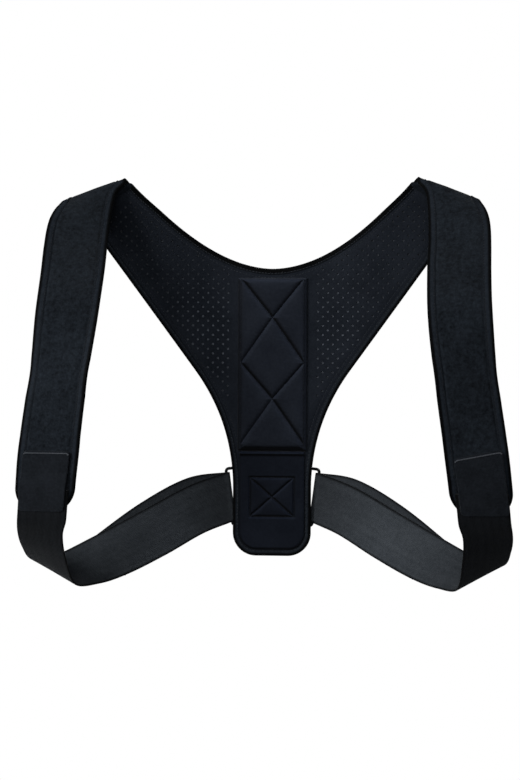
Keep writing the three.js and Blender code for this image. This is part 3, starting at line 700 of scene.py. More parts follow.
def both_sides(columns):
    """The columns of the wearer's left half, and before them those of the right."""
    return np.concatenate([-columns[:0:-1], columns])


COLUMNS = both_sides(lower_columns(CELL))
FINE = both_sides(lower_columns(FINE_CELL))
NECK_LINE = panel_place(FINE, 0.0)
LOWER_LINE = panel_place(FINE, 1.0)


def panel_rows(columns):
    """Shares down each column: fine steps near both edges, where the stitch lines are, and even ones
    between."""
    top, foot = panel_place(columns, 0.0), panel_place(columns, 1.0)
    length = np.linalg.norm(foot - top, axis=-1)
    near = np.array([0, 1.2, 2.6, 4, 5.5, 7, 8, 9, 10, 11, 12.5, 14.5]) * MM
    middle = np.linspace(0, 1, 62)[1:-1, None]
    upper = near[:, None] / length
    lower = 1 - near[::-1, None] / length
    return np.concatenate([upper, mix(upper[-1], lower[0], middle), lower])


def edge_profile(away):
    """Half thickness of the panel at a distance from its edge: squeezed under the tape, full inside it, and
    dipped at the line of stitches."""
    squeezed = EDGE_SQUEEZE * (1 - risen(away, SQUEEZE_START, SQUEEZE_RUN))
    dip = TOPSTITCH_DIP * bell(away, TOPSTITCH_IN, TOPSTITCH_SPREAD)
    puff = PUFF_HEIGHT * bell(away, TOPSTITCH_IN + PUFF_IN, PUFF_SPREAD)
    return PANEL_WALL / 2 - squeezed - dip + puff


def left_of(x, z, start, way):
    """Above 0 on the left of a line from start that goes that way, seen from the body side."""
    return (z - start[1]) * way[0] - (x - start[0]) * way[1]


def hole_places():
    """A centred lattice on each wing: every second row of holes is moved by half a cell. Holes keep their
    room to the edges and the seam, and none lies on the tongue."""
    rows, columns = np.arange(60), np.arange(20)  # more than a wing holds
    z = HOLE_TOP - rows[:, None] * HOLE_DOWN / 2 + 0 * columns
    x = HOLE_START + (rows[:, None] % 2) * HOLE_ACROSS / 2 + columns * HOLE_ACROSS
    x, z = x.ravel(), z.ravel()
    flat = point(x, 0.0, z)
    neck_end, lower_end = np.array(SEAM_NECK), np.array(SEAM_LOWER)
    seam = mix(neck_end, lower_end, np.linspace(0, 1, 60)[:, None])
    room = np.minimum(distance_to(NECK_LINE, flat), distance_to(LOWER_LINE, flat))
    fits = (z < neck_rise(x)) & (room > HOLE_ROOM)
    fits &= distance_to(point(seam[:, 0], 0.0, seam[:, 1]), flat) > HOLE_ROOM
    fits &= left_of(x, z, KNEE, unit(lower_end - KNEE)) > 0
    fits &= left_of(x, z, neck_end, lower_end - neck_end) < 0
    return x[fits], z[fits]


def panel_depth(x, z):
    """The panel's y and its normal at x and z, from the nearest place of a fine grid."""
    grid = panel_place(np.linspace(0, ALL_STEPS, 250)[None, :], np.linspace(0, 1, 120)[:, None])
    flat = grid.reshape(-1, 3)
    nearest = ((flat[None, :, 0] - x[:, None]) ** 2 + (flat[None, :, 2] - z[:, None]) ** 2).argmin(1)
    normals = grid_normals(grid).reshape(-1, 3)[nearest]
    return flat[nearest, 1], normals


def hole_pins():
    """Prisms through the panel, square to it, one for each air hole."""
    x, z = hole_places()
    y, normals = panel_depth(x, z)
    middle = point(x, y, z)
    middle = np.concatenate([middle, middle * MIRROR])
    normals = np.concatenate([normals, normals * MIRROR])
    side = unit(np.cross(normals, [0, 0, 1.0]))
    up = np.cross(side, normals)
    angle = np.arange(HOLE_SIDES) * 2 * math.pi / HOLE_SIDES
    ring = HOLE_RADIUS * (side[:, None] * np.cos(angle)[:, None] + up[:, None] * np.sin(angle)[:, None])
    ends = [middle[:, None] + ring + end * PIN_REACH * normals[:, None] for end in (-1, 1)]
    near = np.arange(len(middle) * HOLE_SIDES).reshape(-1, HOLE_SIDES)
    far = near + near.size
    quads = np.stack([near, next_round(near), next_round(far), far], -1).reshape(-1, 4)
    points = np.concatenate([e.reshape(-1, 3) for e in ends])
    return lay_mesh("pins", points, outward(points, [quads, np.concatenate([near[:, ::-1], far])]))


def cut_by(piece, pins):
    """Cuts the pins out of the piece with a Boolean modifier, applied."""
    cutter = put("cutter", pins)
    cut = piece.modifiers.new("air holes", "BOOLEAN")
    cut.operation = "DIFFERENCE"
    cut.solver = "MANIFOLD"
    cut.object = cutter
    graph = bpy.context.evaluated_depsgraph_get()
    mesh = bpy.data.meshes.new_from_object(piece.evaluated_get(graph))
    piece.modifiers.clear()
    piece.data = mesh
    bpy.data.objects.remove(cutter)
    mesh.set_sharp_from_angle(angle=math.radians(50))


panel_grid = panel_place(COLUMNS[None, :], panel_rows(COLUMNS))
away = np.minimum(distance_to(NECK_LINE, panel_grid), distance_to(LOWER_LINE, panel_grid))
panel_mesh = cloth_mesh("back_panel_cloth", panel_grid, edge_profile(away))
back_panel = dressed("back_panel_cloth", panel_mesh, PANEL, ["back_panel"])
cut_by(back_panel, hole_pins())


def net_mesh(name):
    """The thin grey net in the middle of the foam, which shows in the air holes: the panel's middle surface,
    short of its edges. It is lightest in a blot beside the pad."""
    reach = ALL_STEPS - NET_SHORT
    grid = panel_place(np.linspace(-reach, reach, 171)[None, :], np.linspace(0.02, 0.98, 60)[:, None])
    mesh = cloth_mesh(name, grid, NET_WALL / 2)
    net_tone = bell(np.abs(grid[..., 0]), BLOT_PLACE[0], BLOT_REACH[0])
    net_tone = net_tone * bell(grid[..., 2], BLOT_PLACE[1], BLOT_REACH[1])
    mark(mesh, "net_tone", np.tile(0.38 + 0.75 * net_tone.ravel(), 2))
    return mesh


spacer = dressed("spacer_mesh", net_mesh("spacer_mesh"), NET)


# Edge tape


def tape_profile(within, width):
    """Tape folded over an edge, as a loop of points: a half ellipse round the fold and a leg on each face,
    rounded at its end and pressed in where it is stitched."""
    angle = np.linspace(math.pi / 2, -math.pi / 2, 13)
    leg = np.linspace(width, 0, 11)
    press = TAPE_PRESS * bell(leg, width - TAPE_STITCH_IN, TAPE_PRESS_SPREAD)
    tuck = TAPE_WALL / 2 * risen(leg, width - TAPE_TUCK, TAPE_TUCK)
    outer = within + TAPE_WALL
    top = np.stack([leg, outer - press - tuck], -1)
    fold = np.stack([-TAPE_FOLD * np.cos(angle), outer * np.sin(angle)], -1)[1:-1]
    bottom = top[::-1] * [1, -1]
    inside = [-(TAPE_FOLD - TAPE_WALL) * np.cos(angle[::-1]), within * 0.98 * np.sin(angle[::-1])]
    upper, lower = [width, within * 0.9], [width, -within * 0.9]
    return np.concatenate([top, fold, bottom, [lower], np.stack(inside, -1), [upper]])


def tape_mesh(name, at, side, up, within, width, dark=TAPE_DARK, full=1.0):
    """The folded tape carried along an edge. Its mark of painted light and shade is 0, painted shade, on the
    fold and over the dark width, rises to full past it and falls a little, painted shade again, where the
    leg is stitched down."""
    profile = tape_profile(within, width)
    mesh = tube_mesh(name, at[:, None] + side[:, None] * profile[:, :1] + up[:, None] * profile[:, 1:])
    # painted shade: a little darker from the stitch line to the leg's end
    leg_end_shade = 0.35 * risen(profile[:, 0], width - 2 * MM, 1.2 * MM)
    worn = risen(profile[:, 0], dark, 1.8 * MM) - leg_end_shade
    mark(mesh, "worn", np.tile(full * worn, len(at)))
    return mesh


def panel_edge(share, step):
    """Places along the neck edge, share 0, or the lower edge, share 1, with the way into the cloth and the
    cloth's normal, from small steps on the panel's surface."""
    q = FINE[::step]
    at = panel_place(q, share)
    along = unit(np.gradient(at, axis=0))
    into = panel_place(q, abs(share - 0.01)) - at
    up = unit(np.cross(along, into))
    up *= np.sign(-up[:, 1:2])
    side = np.cross(up, along)
    side *= np.sign((side * into).sum(-1, keepdims=True))
    return at, side, up


panel_within = PANEL_WALL / 2 - EDGE_SQUEEZE + TAPE_REST
PANEL_TAPES = (  # each with its share of the way down the panel, the width of its painted fold shade and how light its legs are painted
    ("neck_binding", 0, NECK_DARK, 0.5),
    ("lower_binding", 1, TAPE_DARK, 0.9),
)
for edge_name, share, dark, full in PANEL_TAPES:
    at, side, up = panel_edge(share, 3)
    mesh = tape_mesh(edge_name + "_tape", at, side, up, panel_within, TAPE_LEG, dark, full)
    piece = dressed(edge_name + "_tape", mesh, TAPE, [edge_name], 60)


# Stitches


def read_along(line, way, lengths):
    """A line's points, or its normals, at some lengths along it."""
    return np.stack([np.interp(lengths, way, line[:, k]) for k in range(3)], -1)


def stitch_shapes(at, up, pitch, length, radius):
    """Short lengths of thread laid along a line of points: each is a six-sided capsule whose middle arches
    out of the cloth, placed at even distances along the line. Gives the corners and the faces."""
    way = way_along(at)
    middles = np.arange(pitch / 2, way[-1], pitch)
    place = read_along(at, way, middles)
    normal = unit(read_along(up, way, middles))
    along = unit(read_along(at, way, middles + 0.3 * pitch) - read_along(at, way, middles - 0.3 * pitch))
    side = np.cross(along, normal)
    reach = np.array([-0.5, -0.36, 0, 0.36, 0.5]) * length
    thick = np.array([0.35, 0.85, 1, 0.85, 0.35]) * radius
    arch = np.array([-0.6, 0.1, 0.45, 0.1, -0.6]) * radius
    angle = np.arange(6) * math.pi / 3
    local = np.stack([
        np.broadcast_to(reach[:, None], (5, 6)),
        thick[:, None] * np.cos(angle),
        arch[:, None] + thick[:, None] * np.sin(angle),
    ], -1).reshape(-1, 3)
    frames = np.stack([along, side, normal], 1)
    points = (place[:, None] + np.einsum("kj,njc->nkc", local, frames)).reshape(-1, 3)
    number = np.arange(30).reshape(5, 6)
    here, there = number[:-1], number[1:]
    quads = np.stack([here, there, next_round(there), next_round(here)], -1).reshape(-1, 4)
    caps = np.stack([number[0], number[-1][::-1]])
    offsets = (30 * np.arange(len(middles)))[:, None, None]
    faces = [(quads + offsets).reshape(-1, 4), (caps + offsets).reshape(-1, 6)]
    return points, outward(points, faces)


def sewn(name, lines, material, stitch=PLAIN_STITCH):
    """One piece of all the stitches along several lines, each of points and the cloth's normals."""
    all_points, quads, caps, start = [], [], [], 0
    for at, up in lines:
        points, faces = stitch_shapes(at, up, *stitch)
        all_points.append(points)
        quads.append(faces[0] + start)
        caps.append(faces[1] + start)
        start += len(points)
    mesh = lay_mesh(name, np.concatenate(all_points), [np.concatenate(quads), np.concatenate(caps)])
    return dressed(name, mesh, material, sharp=80)


def panel_stitch_lines(away, face):
    """Lines on one face of the panel at a distance in from both edges, on the cloth or on the tape's leg.
    face is 1 for the body side."""
    lift = panel_within + TAPE_WALL - TAPE_PRESS
    if away > TAPE_LEG:
        lift = PANEL_WALL / 2 - TOPSTITCH_DIP
    edges = [panel_edge(share, 2) for share in (0, 1)]
    return [(at + side * away + up * face * lift, up * face) for at, side, up in edges]


panel_lines = []
for away in (TOPSTITCH_IN, TAPE_LEG - TAPE_STITCH_IN):
    for face in (1, -1):
        panel_lines += panel_stitch_lines(away, face)
sewn("panel_stitches", panel_lines, SOOT_THREAD)


# Spine pad


def quilt_out(z):
    """How far out the quilting lines are at a height: straight between an outer end and a crossing."""
    return np.interp(-z, -QUILT_HEIGHTS, QUILT_OUTS)


def quilt_gap(x, z):
    """Distance to the nearest quilting line, hem line or cross seam of the pad."""
    slanted = np.abs(np.abs(x) - quilt_out(z)) / math.hypot(1, QUILT_STEEP)
    hem = np.abs(np.abs(x) - QUILT_HALF) + HEM_SHALLOW
    ends = np.minimum(np.abs(z - QUILT_HEIGHTS[0]), np.abs(z - QUILT_FOOT))
    return np.minimum(np.minimum(slanted, hem), ends)


def pad_puckers(x, z):
    """Faint tucks beside the stitches: two slanted waves, one times the other."""
    one = np.sin(2 * math.pi * (x + 0.6 * z) / PUCKER_PITCHES[0])
    other = np.sin(2 * math.pi * (x - 0.8 * z) / PUCKER_PITCHES[1])
    return PUCKER_HEIGHT * one * other


def pad_height(x, z):
    """A pillow between each pair of stitch lines: the height rises from a narrow groove as two quarter
    circles, a steep and a broad one. Outside the hem it falls to the edge as a square root."""
    gap = quilt_gap(x, z)
    steep, broad = quarter_round(gap, PILLOW_TURN), quarter_round(gap, PILLOW_BROAD)
    height = mix(PAD_GROOVE, PAD_CROWN, 0.62 * steep + 0.38 * broad)
    height = height + pad_puckers(x, z) * np.exp(-gap / PUCKER_REACH) * steep
    from_edge = np.minimum(PAD_HALF - np.abs(x), np.minimum(PAD_TOP - z, z - PAD_FOOT))
    border = mix(PAD_EDGE, PAD_GROOVE + BORDER_PROUD, np.sqrt(np.clip(from_edge / PAD_BORDER, 0, 1)))
    outside = (np.abs(x) > QUILT_HALF) | (z > QUILT_HEIGHTS[0]) | (z < QUILT_FOOT)
    return np.where(outside, np.minimum(border, height + BORDER_LIP), height)


def plate_mesh(name, x, z, height):
    """A closed plate sewn on the panel's body side: its back is flat, and its face stands height out. Its
    mark of painted light and shade is the face's slope along the lit way."""
    front = point(x, PLATE_BACK - height, z)
    mesh = shell_mesh(name, front, point(x, PLATE_BACK, z))
    normals = grid_normals(front)
    normals *= -np.sign(normals[..., 1:2])
    # painted light and shade: the face's slope towards the light, clipped to -1..1
    painted_slope_light = np.clip((normals @ unit(SLOPE_LIGHT_WAY)) / SLOPE_LIGHT_FULL, -1, 1)
    mark(mesh, "painted_slope_light", np.concatenate([painted_slope_light.ravel(), np.zeros(painted_slope_light.size)]))
    return mesh


pad_x = np.linspace(-PAD_HALF, PAD_HALF, 125)
pad_z = np.linspace(PAD_TOP, PAD_FOOT, 301)
x, z = np.meshgrid(pad_x, pad_z)
pad_mesh = plate_mesh("quilted_spine_pad", x, z, pad_height(x, z))
spine_pad = dressed("quilted_spine_pad", pad_mesh, PAD, ["spine_pad"], 70)


def box_gap(x, z):
    """Distance to the sewn box and, inside it, to its diagonals, and whether a place is outside the box."""
    up = z - BOX_MIDDLE
    in_x, in_z = np.abs(x) - BOX_HALF, np.abs(up) - BOX_HALF_UP
    outside = np.hypot(np.maximum(in_x, 0), np.maximum(in_z, 0))
    cross = np.abs(np.abs(x * BOX_HALF_UP) - np.abs(up * BOX_HALF)) / math.hypot(BOX_HALF, BOX_HALF_UP)
    inside = np.minimum(-np.maximum(in_x, in_z), cross)
    return np.where(outside > 0, outside, inside), outside > 0


def patch_height(x, z, top, edge_gap):
    """The patch: even, with a rolled top edge, pressed in along the box and its two diagonals."""
    gap, outside = box_gap(x, z)
    pressed = PATCH_PRESS * bell(gap, 0, PATCH_PRESS_SPREAD)
    puff = BOX_PUFF * np.where(outside, 0, quarter_round(gap, BOX_PUFF_TURN))
    roll = ROLL_HEIGHT * bell(top - z, ROLL_DOWN, ROLL_SPREAD)
    rim = PATCH_RIM * (1 - np.sqrt(np.clip(edge_gap / PATCH_RIM_RUN, 0, 1)))
    return PATCH_WALL - pressed + puff + roll - rim


def lower_patch_mesh(name):
    """The patch's outline is the tongue's, set in: rows whose half width follows the corner's circle."""
    margin = TAPE_LEG + PATCH_CLEAR
    top = PAD_FOOT - PATCH_CLEAR / 2
    half, foot = TONGUE_HALF - margin, margin - TONGUE_END
    corner = TONGUE_CORNER - margin
    turn = np.linspace(0, math.pi / 2, 24)
    z = np.concatenate([np.linspace(top, foot + corner, 170), foot + corner - corner * np.sin(turn[1:])])
    past = np.clip(foot + corner - z, 0, corner)
    reach = half - corner + np.sqrt(np.maximum(corner**2 - past**2, 0))
    across = np.linspace(-1, 1, 133)
    x = reach[:, None] * across
    z = z[:, None] + 0 * across
    inward = corner - np.hypot(np.maximum(np.abs(x) - half + corner, 0), np.maximum(foot + corner - z, 0))
    edge_gap = np.minimum(np.minimum(half - np.abs(x), z - foot), np.where(past[:, None] > 0, inward, 1))
    edge_gap = np.minimum(edge_gap, top - z)
    return plate_mesh(name, x, z, patch_height(x, z, top, np.maximum(edge_gap, 0)))


patch_mesh = lower_patch_mesh("tongue_patch")
lower_patch = dressed("tongue_patch", patch_mesh, PATCH, ["lower_patch"], 70)


def pad_line(x_ends, z_ends, lift=QUILT_STITCH_LIFT):
    """A straight stitch line on the pad from one place to another, lifted a little out of the groove."""
    share = np.linspace(0, 1, 40)
    x, z = mix(x_ends[0], x_ends[1], share), mix(z_ends[0], z_ends[1], share)
    return point(x, PLATE_BACK - PAD_GROOVE - lift, z), point(0 * x, -1.0, 0.0)


hem_ends = (-QUILT_HALF, QUILT_HALF)
pad_lines = []
for k in range(len(QUILT_OUTS) - 1):
    for side in (-1, 1):
        pad_lines.append(pad_line(side * QUILT_OUTS[k:k + 2], QUILT_HEIGHTS[k:k + 2]))
for out in hem_ends:
    pad_lines.append(pad_line((out, out), (QUILT_HEIGHTS[0], QUILT_FOOT), HEM_STITCH_LIFT))
for z in (QUILT_HEIGHTS[0], QUILT_FOOT):
    pad_lines.append(pad_line(hem_ends, (z, z)))
box_lift = PATCH_WALL - PATCH_PRESS - PAD_GROOVE + BOX_STITCH_LIFT
BOX_LINES = np.array([  # ends out, then ends up, as sides of the box: its four sides and two diagonals
    [-1, 1, 1, 1], [-1, 1, -1, -1], [-1, -1, 1, -1], [1, 1, 1, -1], [-1, 1, 1, -1], [-1, 1, -1, 1],
])
for ends in BOX_LINES:
    pad_lines.append(pad_line(ends[:2] * BOX_HALF, BOX_MIDDLE + ends[2:] * BOX_HALF_UP, box_lift))
sewn("pad_stitches", pad_lines, BLACK_THREAD, QUILT_STITCH)


# Straps and webbing


def curve_through(knots, t):
    """A smooth curve through the knots, at shares t of its way: in each span a cubic whose end slopes weigh
    the neighbours by the root of their distances."""
    ends = np.vstack([2 * knots[0] - knots[1], knots, 2 * knots[-1] - knots[-2]])
    spans = len(knots) - 1
    way = np.asarray(t, float) * spans
    span = np.clip(np.floor(way).astype(int), 0, spans - 1)
    w = (way - span)[..., None]
    a, b, c, d = (ends[span + k] for k in range(4))
    gaps = (b - a, c - b, d - c)
    before, within, after = (np.sqrt(np.linalg.norm(gap, axis=-1, keepdims=True)) for gap in gaps)
    within = np.where(within < 1e-4, 1.0, within)
    before, after = np.where(before < 1e-4, within, before), np.where(after < 1e-4, within, after)
    leave = ((b - a) / before - (c - a) / (before + within) + (c - b) / within) * within
    arrive = ((c - b) / within - (d - b) / (within + after) + (d - c) / after) * within
    return b + leave * w + (3 * (c - b) - 2 * leave - arrive) * w**2 + (2 * (b - c) + leave + arrive) * w**3


def turned(yaw, dip):
    """A width direction: yaw takes the outer edge back and dip takes it down."""
    yaw, dip = np.radians(yaw), np.radians(dip)
    return point(np.cos(dip) * np.cos(yaw), np.cos(dip) * np.sin(yaw), -np.sin(dip))


class Ribbon:
    """A smooth band through sections, each with its middle and its width direction."""

    def __init__(self, middles, widths):
        self.middles, self.widths = np.array(middles), np.array(widths)
        self.spans = len(self.middles) - 1
        self.end_way = self.middles[-1] - curve_through(self.middles, 1 - 1 / self.spans)

    def width(self, t):
        """The width direction a share t along."""
        return unit(curve_through(self.widths, t))

    def line(self, t, a):
        """The place a share t along and a to the outer side of the middle."""
        return curve_through(self.middles, t) + self.width(t) * np.asarray(a, float)[..., None]

    def at(self, t, a, lift=0.0):
        """The place a share t along, a to the outer side of the middle, and lift out of the surface."""
        t, a, lift = np.broadcast_arrays(t, a, lift)
        nudge = 1e-3
        along = self.line(np.minimum(t + nudge, 1), a) - self.line(np.maximum(t - nudge, 0), a)
        normal = unit(np.cross(along, self.width(t)))
        return self.line(t, a) + normal * lift[..., None]

    def from_end(self, length):
        """The share along that lies a length before the end."""
        return 1 - length / (self.spans * np.linalg.norm(self.end_way))

    def past(self, length, lift):
        """The place straight on past the end by a length, lifted out of the surface."""
        return self.at(1.0, 0.0, lift) + self.end_way * length / np.linalg.norm(self.end_way)


seam_inner = np.array([SEAM_NECK[0], -NECK_WRAP, SEAM_NECK[1]])
seam_outer = np.array([SEAM_LOWER[0], -LOWER_WRAP, SEAM_LOWER[1]])
seam_middle = (seam_inner + seam_outer) / 2
strap_end_z = seam_middle[2] - STRAP_DROP


def placed(sections, start, end):
    """Section middles and width directions from shares of the way between two corners of a box."""
    out, front, down, yaw, dip = sections.T
    middles = mix(np.array(start), np.array(end), np.stack([out, front, down], -1))
    return middles, turned(yaw, dip)


def strap_ribbon():
    """The strap from the seam on the shoulder through its sections to its end."""
    middles, widths = placed(STRAP_SECTIONS, seam_middle, (REACH, -CHEST_DEPTH, strap_end_z))
    start = seam_middle + SEAM_GAP * unit(middles[0] - seam_middle)
    return Ribbon([start, *middles], [unit(seam_outer - seam_inner), *widths])


strap = strap_ribbon()


def strap_way(t, a):
    """t moved back near the strap's end, so that the end is round."""
    round_start = strap.from_end(2 * STRAP_CORNER)
    back = 1 - strap.from_end(corner_cut(a, STRAP_EDGE, STRAP_CORNER))
    return t - risen(t, round_start, 1 - round_start) * back


# Bells along the strap that move an edge: how far, and the middle and width as shares of the strap
NECK_SIDE_BELL = (-5.5 * MM, 0.135, 0.05)  # the inner edge, towards the neck, in front of the ridge
ARM_SIDE_BELL = (4.5 * MM, 0.27, 0.14)  # the outer edge, outwards, below the collarbone
RIDGE_BELL = (-SEAM_DROP, 0, 0.04)  # the inner edge, down, with the seam's neck end


def edge_shift(way, size, middle, width):
    """How far an edge of the strap is moved, at shares of its way."""
    return size * bell(way, middle, width)


strap_t = np.linspace(-SEAM_UNDER, 1, STRAP_STEPS)
strap_a = STRAP_EDGE * np.sin(np.linspace(-math.pi / 2, math.pi / 2, 61))
strap_tt, strap_aa = np.meshgrid(strap_t, strap_a, indexing="ij")
strap_grid = strap.at(strap_way(strap_tt, strap_aa), strap_aa)
inner_share, outer_share = eased(-strap_aa / STRAP_EDGE), eased(strap_aa / STRAP_EDGE)
strap_grid[..., 0] += inner_share * edge_shift(strap_tt, *NECK_SIDE_BELL)
strap_grid[..., 0] += outer_share * edge_shift(strap_tt, *ARM_SIDE_BELL)
strap_grid[..., 2] += inner_share * edge_shift(strap_tt, *RIDGE_BELL)


def from_strap_edge(tt, aa):
    """Distance from the strap's long edges and its round end."""
    side = STRAP_EDGE - np.abs(aa)
    end = (1 - tt) * strap.spans * np.linalg.norm(strap.end_way)
    corner = STRAP_CORNER - np.hypot(np.maximum(0, STRAP_CORNER - side), np.maximum(0, STRAP_CORNER - end))
    nearest = np.minimum(np.minimum(side, end), np.where(end < STRAP_CORNER, corner, side))
    return np.maximum(0, nearest)


def strap_half_wall(tt, aa):
    """Half thickness: squeezed under the tape and full between the edges, with a crown as a half wave."""
    squeezed = STRAP_SQUEEZE * (1 - risen(from_strap_edge(tt, aa), STRAP_TAPE_LEG, STRAP_SQUEEZE_RUN))
    crown = STRAP_CROWN * np.cos(np.clip(aa / STRAP_EDGE, -1, 1) * math.pi / 2)
    return STRAP_WALL / 2 - squeezed + crown


strap_cloth = cloth_mesh("strap_cloth_left", strap_grid, strap_half_wall(strap_tt, strap_aa))
for piece in pair("strap_cloth", strap_cloth, LOOP, ["strap"]):
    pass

strap_within = STRAP_WALL / 2 - STRAP_SQUEEZE + TAPE_REST


def evened(vectors, reach):
    """Each vector along a line as the mean of its neighbours on both sides."""
    padded = np.pad(vectors, ((reach, reach), (0, 0)), mode="edge")
    return unit(sum(padded[k:k + len(vectors)] for k in range(2 * reach + 1)))


def round_strap(grid, inset):
    """A grid's values up the strap's inner side, across its end and back down its outer side, set in by
    some rows."""
    return np.concatenate([grid[:, inset], grid[-1 - inset, 1:-1], grid[::-1, -1 - inset]])


def strap_edge_frames():
    """Places along both long edges of the strap and round its end, with the way into the cloth and the
    normal, each evened out. Places closer than a few tenths of a millimetre are left out."""
    at, up = round_strap(strap_grid, 0), round_strap(grid_normals(strap_grid), 0)
    side = unit(np.cross(up, unit(np.gradient(at, axis=0))))
    inward = round_strap(strap_grid, 4) - at
    side *= np.sign((side * inward).sum(-1, keepdims=True))
    keep = np.concatenate([[True], np.linalg.norm(np.diff(at, axis=0), axis=1) > 0.4 * MM])
    return at[keep], evened(side[keep], 5), evened(up[keep], 5)


at, side, up = strap_edge_frames()
tape = tape_mesh("strap_tape_left", at, side, up, strap_within, STRAP_TAPE_LEG)
for piece in pair("strap_tape", tape, TAPE, ["strap_binding"], 60):
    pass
on_leg = at + side * (STRAP_TAPE_LEG - TAPE_STITCH_IN)
tape_lift = up * (strap_within + TAPE_WALL - TAPE_PRESS)
edge_lines = [(on_leg + tape_lift * face, up * face) for face in (1, -1)]
edge_lines += [(places * MIRROR, normals * MIRROR) for places, normals in edge_lines]
sewn("strap_stitches", edge_lines, BLACK_THREAD)


def shoulder_seam_mesh(name):
    """A narrow strip of tape over the seam: an ellipse carried along the line between the seam's ends,
    narrowed at both."""
    share = np.linspace(0, 1, 40)[:, None]
    way = unit(seam_outer - seam_inner)
    at = mix(seam_inner - way * TAPE_FOLD - [0, 0, SEAM_DROP], seam_outer + way * TAPE_FOLD, share)
    along_strap = unit(strap.at(0.01, 0.0) - strap.at(0.0, 0.0))
    up = unit(np.cross(along_strap, way))
    turn = np.arange(20)[:, None] * math.pi / 10
    full = np.sqrt(np.clip(np.minimum(share, 1 - share) / 0.03, 0.02, 1))
    reach = SEAM_TAPE_REACH * np.cos(turn) * along_strap + SEAM_TAPE_RISE * np.sin(turn) * up
    loops = at[:, None] + reach * full[:, None] + SEAM_TAPE_AHEAD * along_strap
    mesh = tube_mesh(name, loops)
    # painted light and shade: one even tone for the seam's tape, a little darker than the tape's own
    mark(mesh, "worn", np.full(len(mesh.vertices), 0.55))
    return mesh


for piece in pair("shoulder_seam", shoulder_seam_mesh("shoulder_seam_left"), TAPE, sharp=80):
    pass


# Webbing

ring_up = np.array([math.sin(RING_LEAN), 0, math.cos(RING_LEAN)])
ring_side = np.array([math.cos(RING_LEAN), 0, -math.sin(RING_LEAN)])
ring_back = np.array([0, 1, 0])
outer_bar = RING_MIDDLE + ring_side * RING_BARS / 2


def webbing_ribbon():
    """The webbing from under the hook tab down to its lowest bend and up again to the ring's outer bar."""
    lowest = (REACH, -CHEST_DEPTH, strap_end_z - WEB_HANG)
    drop, drop_widths = placed(DROP_SECTIONS, (outer_bar[0], RING_MIDDLE[1], strap_end_z), lowest)
    rise, rise_widths = placed(RISE_SECTIONS, (outer_bar[0], RING_MIDDLE[1], RING_MIDDLE[2]), lowest)
    laps = [strap.from_end(WEB_LAP), strap.from_end(WEB_LAP_REST)]
    middles = [strap.at(t, 0.0, WEB_LIFT) for t in laps] + [strap.past(WEB_LAP_PAST, WEB_LIFT)]
    widths = [strap.width(t) for t in laps] + [strap.width(1.0)]
    bar = outer_bar - TURN_RADIUS * ring_back
    return Ribbon([*middles, *drop, *rise, bar], [*widths, *drop_widths, *rise_widths, ring_up])


def webbing_grid(places):
    """The webbing's middle surface: along its ribbon, half a turn round the ring's bar, and back over
    itself, lifted and bulging upwards as a sine."""
    web = webbing_ribbon()
    t = np.linspace(0, 1, WEB_ROWS + 1)[:-1]
    first = web.at(t[:, None], places)
    angle = np.linspace(0, math.pi, TURN_ROWS)[:, None, None]
    turn = outer_bar - TURN_RADIUS * (ring_side * np.sin(angle) + ring_back * np.cos(angle))
    turn = turn + ring_up * places[None, :, None]
    share = np.linspace(0, 1, RETURN_ROWS + 1)[1:, None]
    lift = mix(2 * TURN_RADIUS, WEB_WALL + RETURN_GAP, eased(share))
    rise = RETURN_RISE * np.sin(math.pi * share)
    back = web.at(1 - share * RETURN_SHARE, places + rise, lift)
    return np.concatenate([first, turn, back])


def painted_web_light_of(way, places):
    """Painted light and shade on the webbing: a bell of light before the ring that is wider towards the
    strap, an even darker tone after the ring, and painted shade along both edges."""
    before_ring = way[WEB_ROWS - 1] - way[:, None]
    spread = np.where(before_ring < WEB_LIGHT_FROM, WEB_LIGHT_NEAR, WEB_LIGHT_FAR)
    web_light = mix(*WEB_LIGHT_TONES, bell(before_ring, WEB_LIGHT_FROM, spread))
    web_light = np.where(before_ring > 0, web_light, RETURN_SHADE)
    rim = risen(np.abs(places), WEB_WIDTH / 2 - WEB_RIM_IN, WEB_RIM_RUN)
    return web_light * mix(1, WEB_RIM_SHADE, rim)


def inner_faces(rows, columns, faces):
    """1 for each face with the webbing's inner look: the second side of the wall all along, and from half
    way round the bar the first side too."""
    which = np.zeros(faces, np.int32)
    first, second = which[:rows * columns].reshape(rows, columns), which[rows * columns:2 * rows * columns]
    second[:] = 1
    first[WEB_ROWS + TURN_ROWS // 2:] = 1
    return which


web_places, web_fullness = rounded_shares(WEB_WIDTH, WEB_WALL, 23)
web_grid = webbing_grid(web_places)
web_way = way_along(web_grid[:, len(web_places) // 2])
web_uv = np.stack(np.broadcast_arrays(web_places[None, :], web_way[:, None]), -1)
web_mesh = cloth_mesh("elastic_left", web_grid, WEB_WALL / 2 * web_fullness, web_uv)
# painted light and shade along the webbing and at its edges
mark(web_mesh, "painted_web_light", np.tile(painted_web_light_of(web_way, web_places).ravel(), 2))
for piece in pair("elastic", web_mesh, WEB_OUTER, ["webbing"], 60):
    piece.data.materials.append(WEB_INNER)
    looks = inner_faces(len(web_way) - 1, len(web_places) - 1, len(piece.data.polygons))
    piece.data.polygons.foreach_set("material_index", looks)


# Hook tab


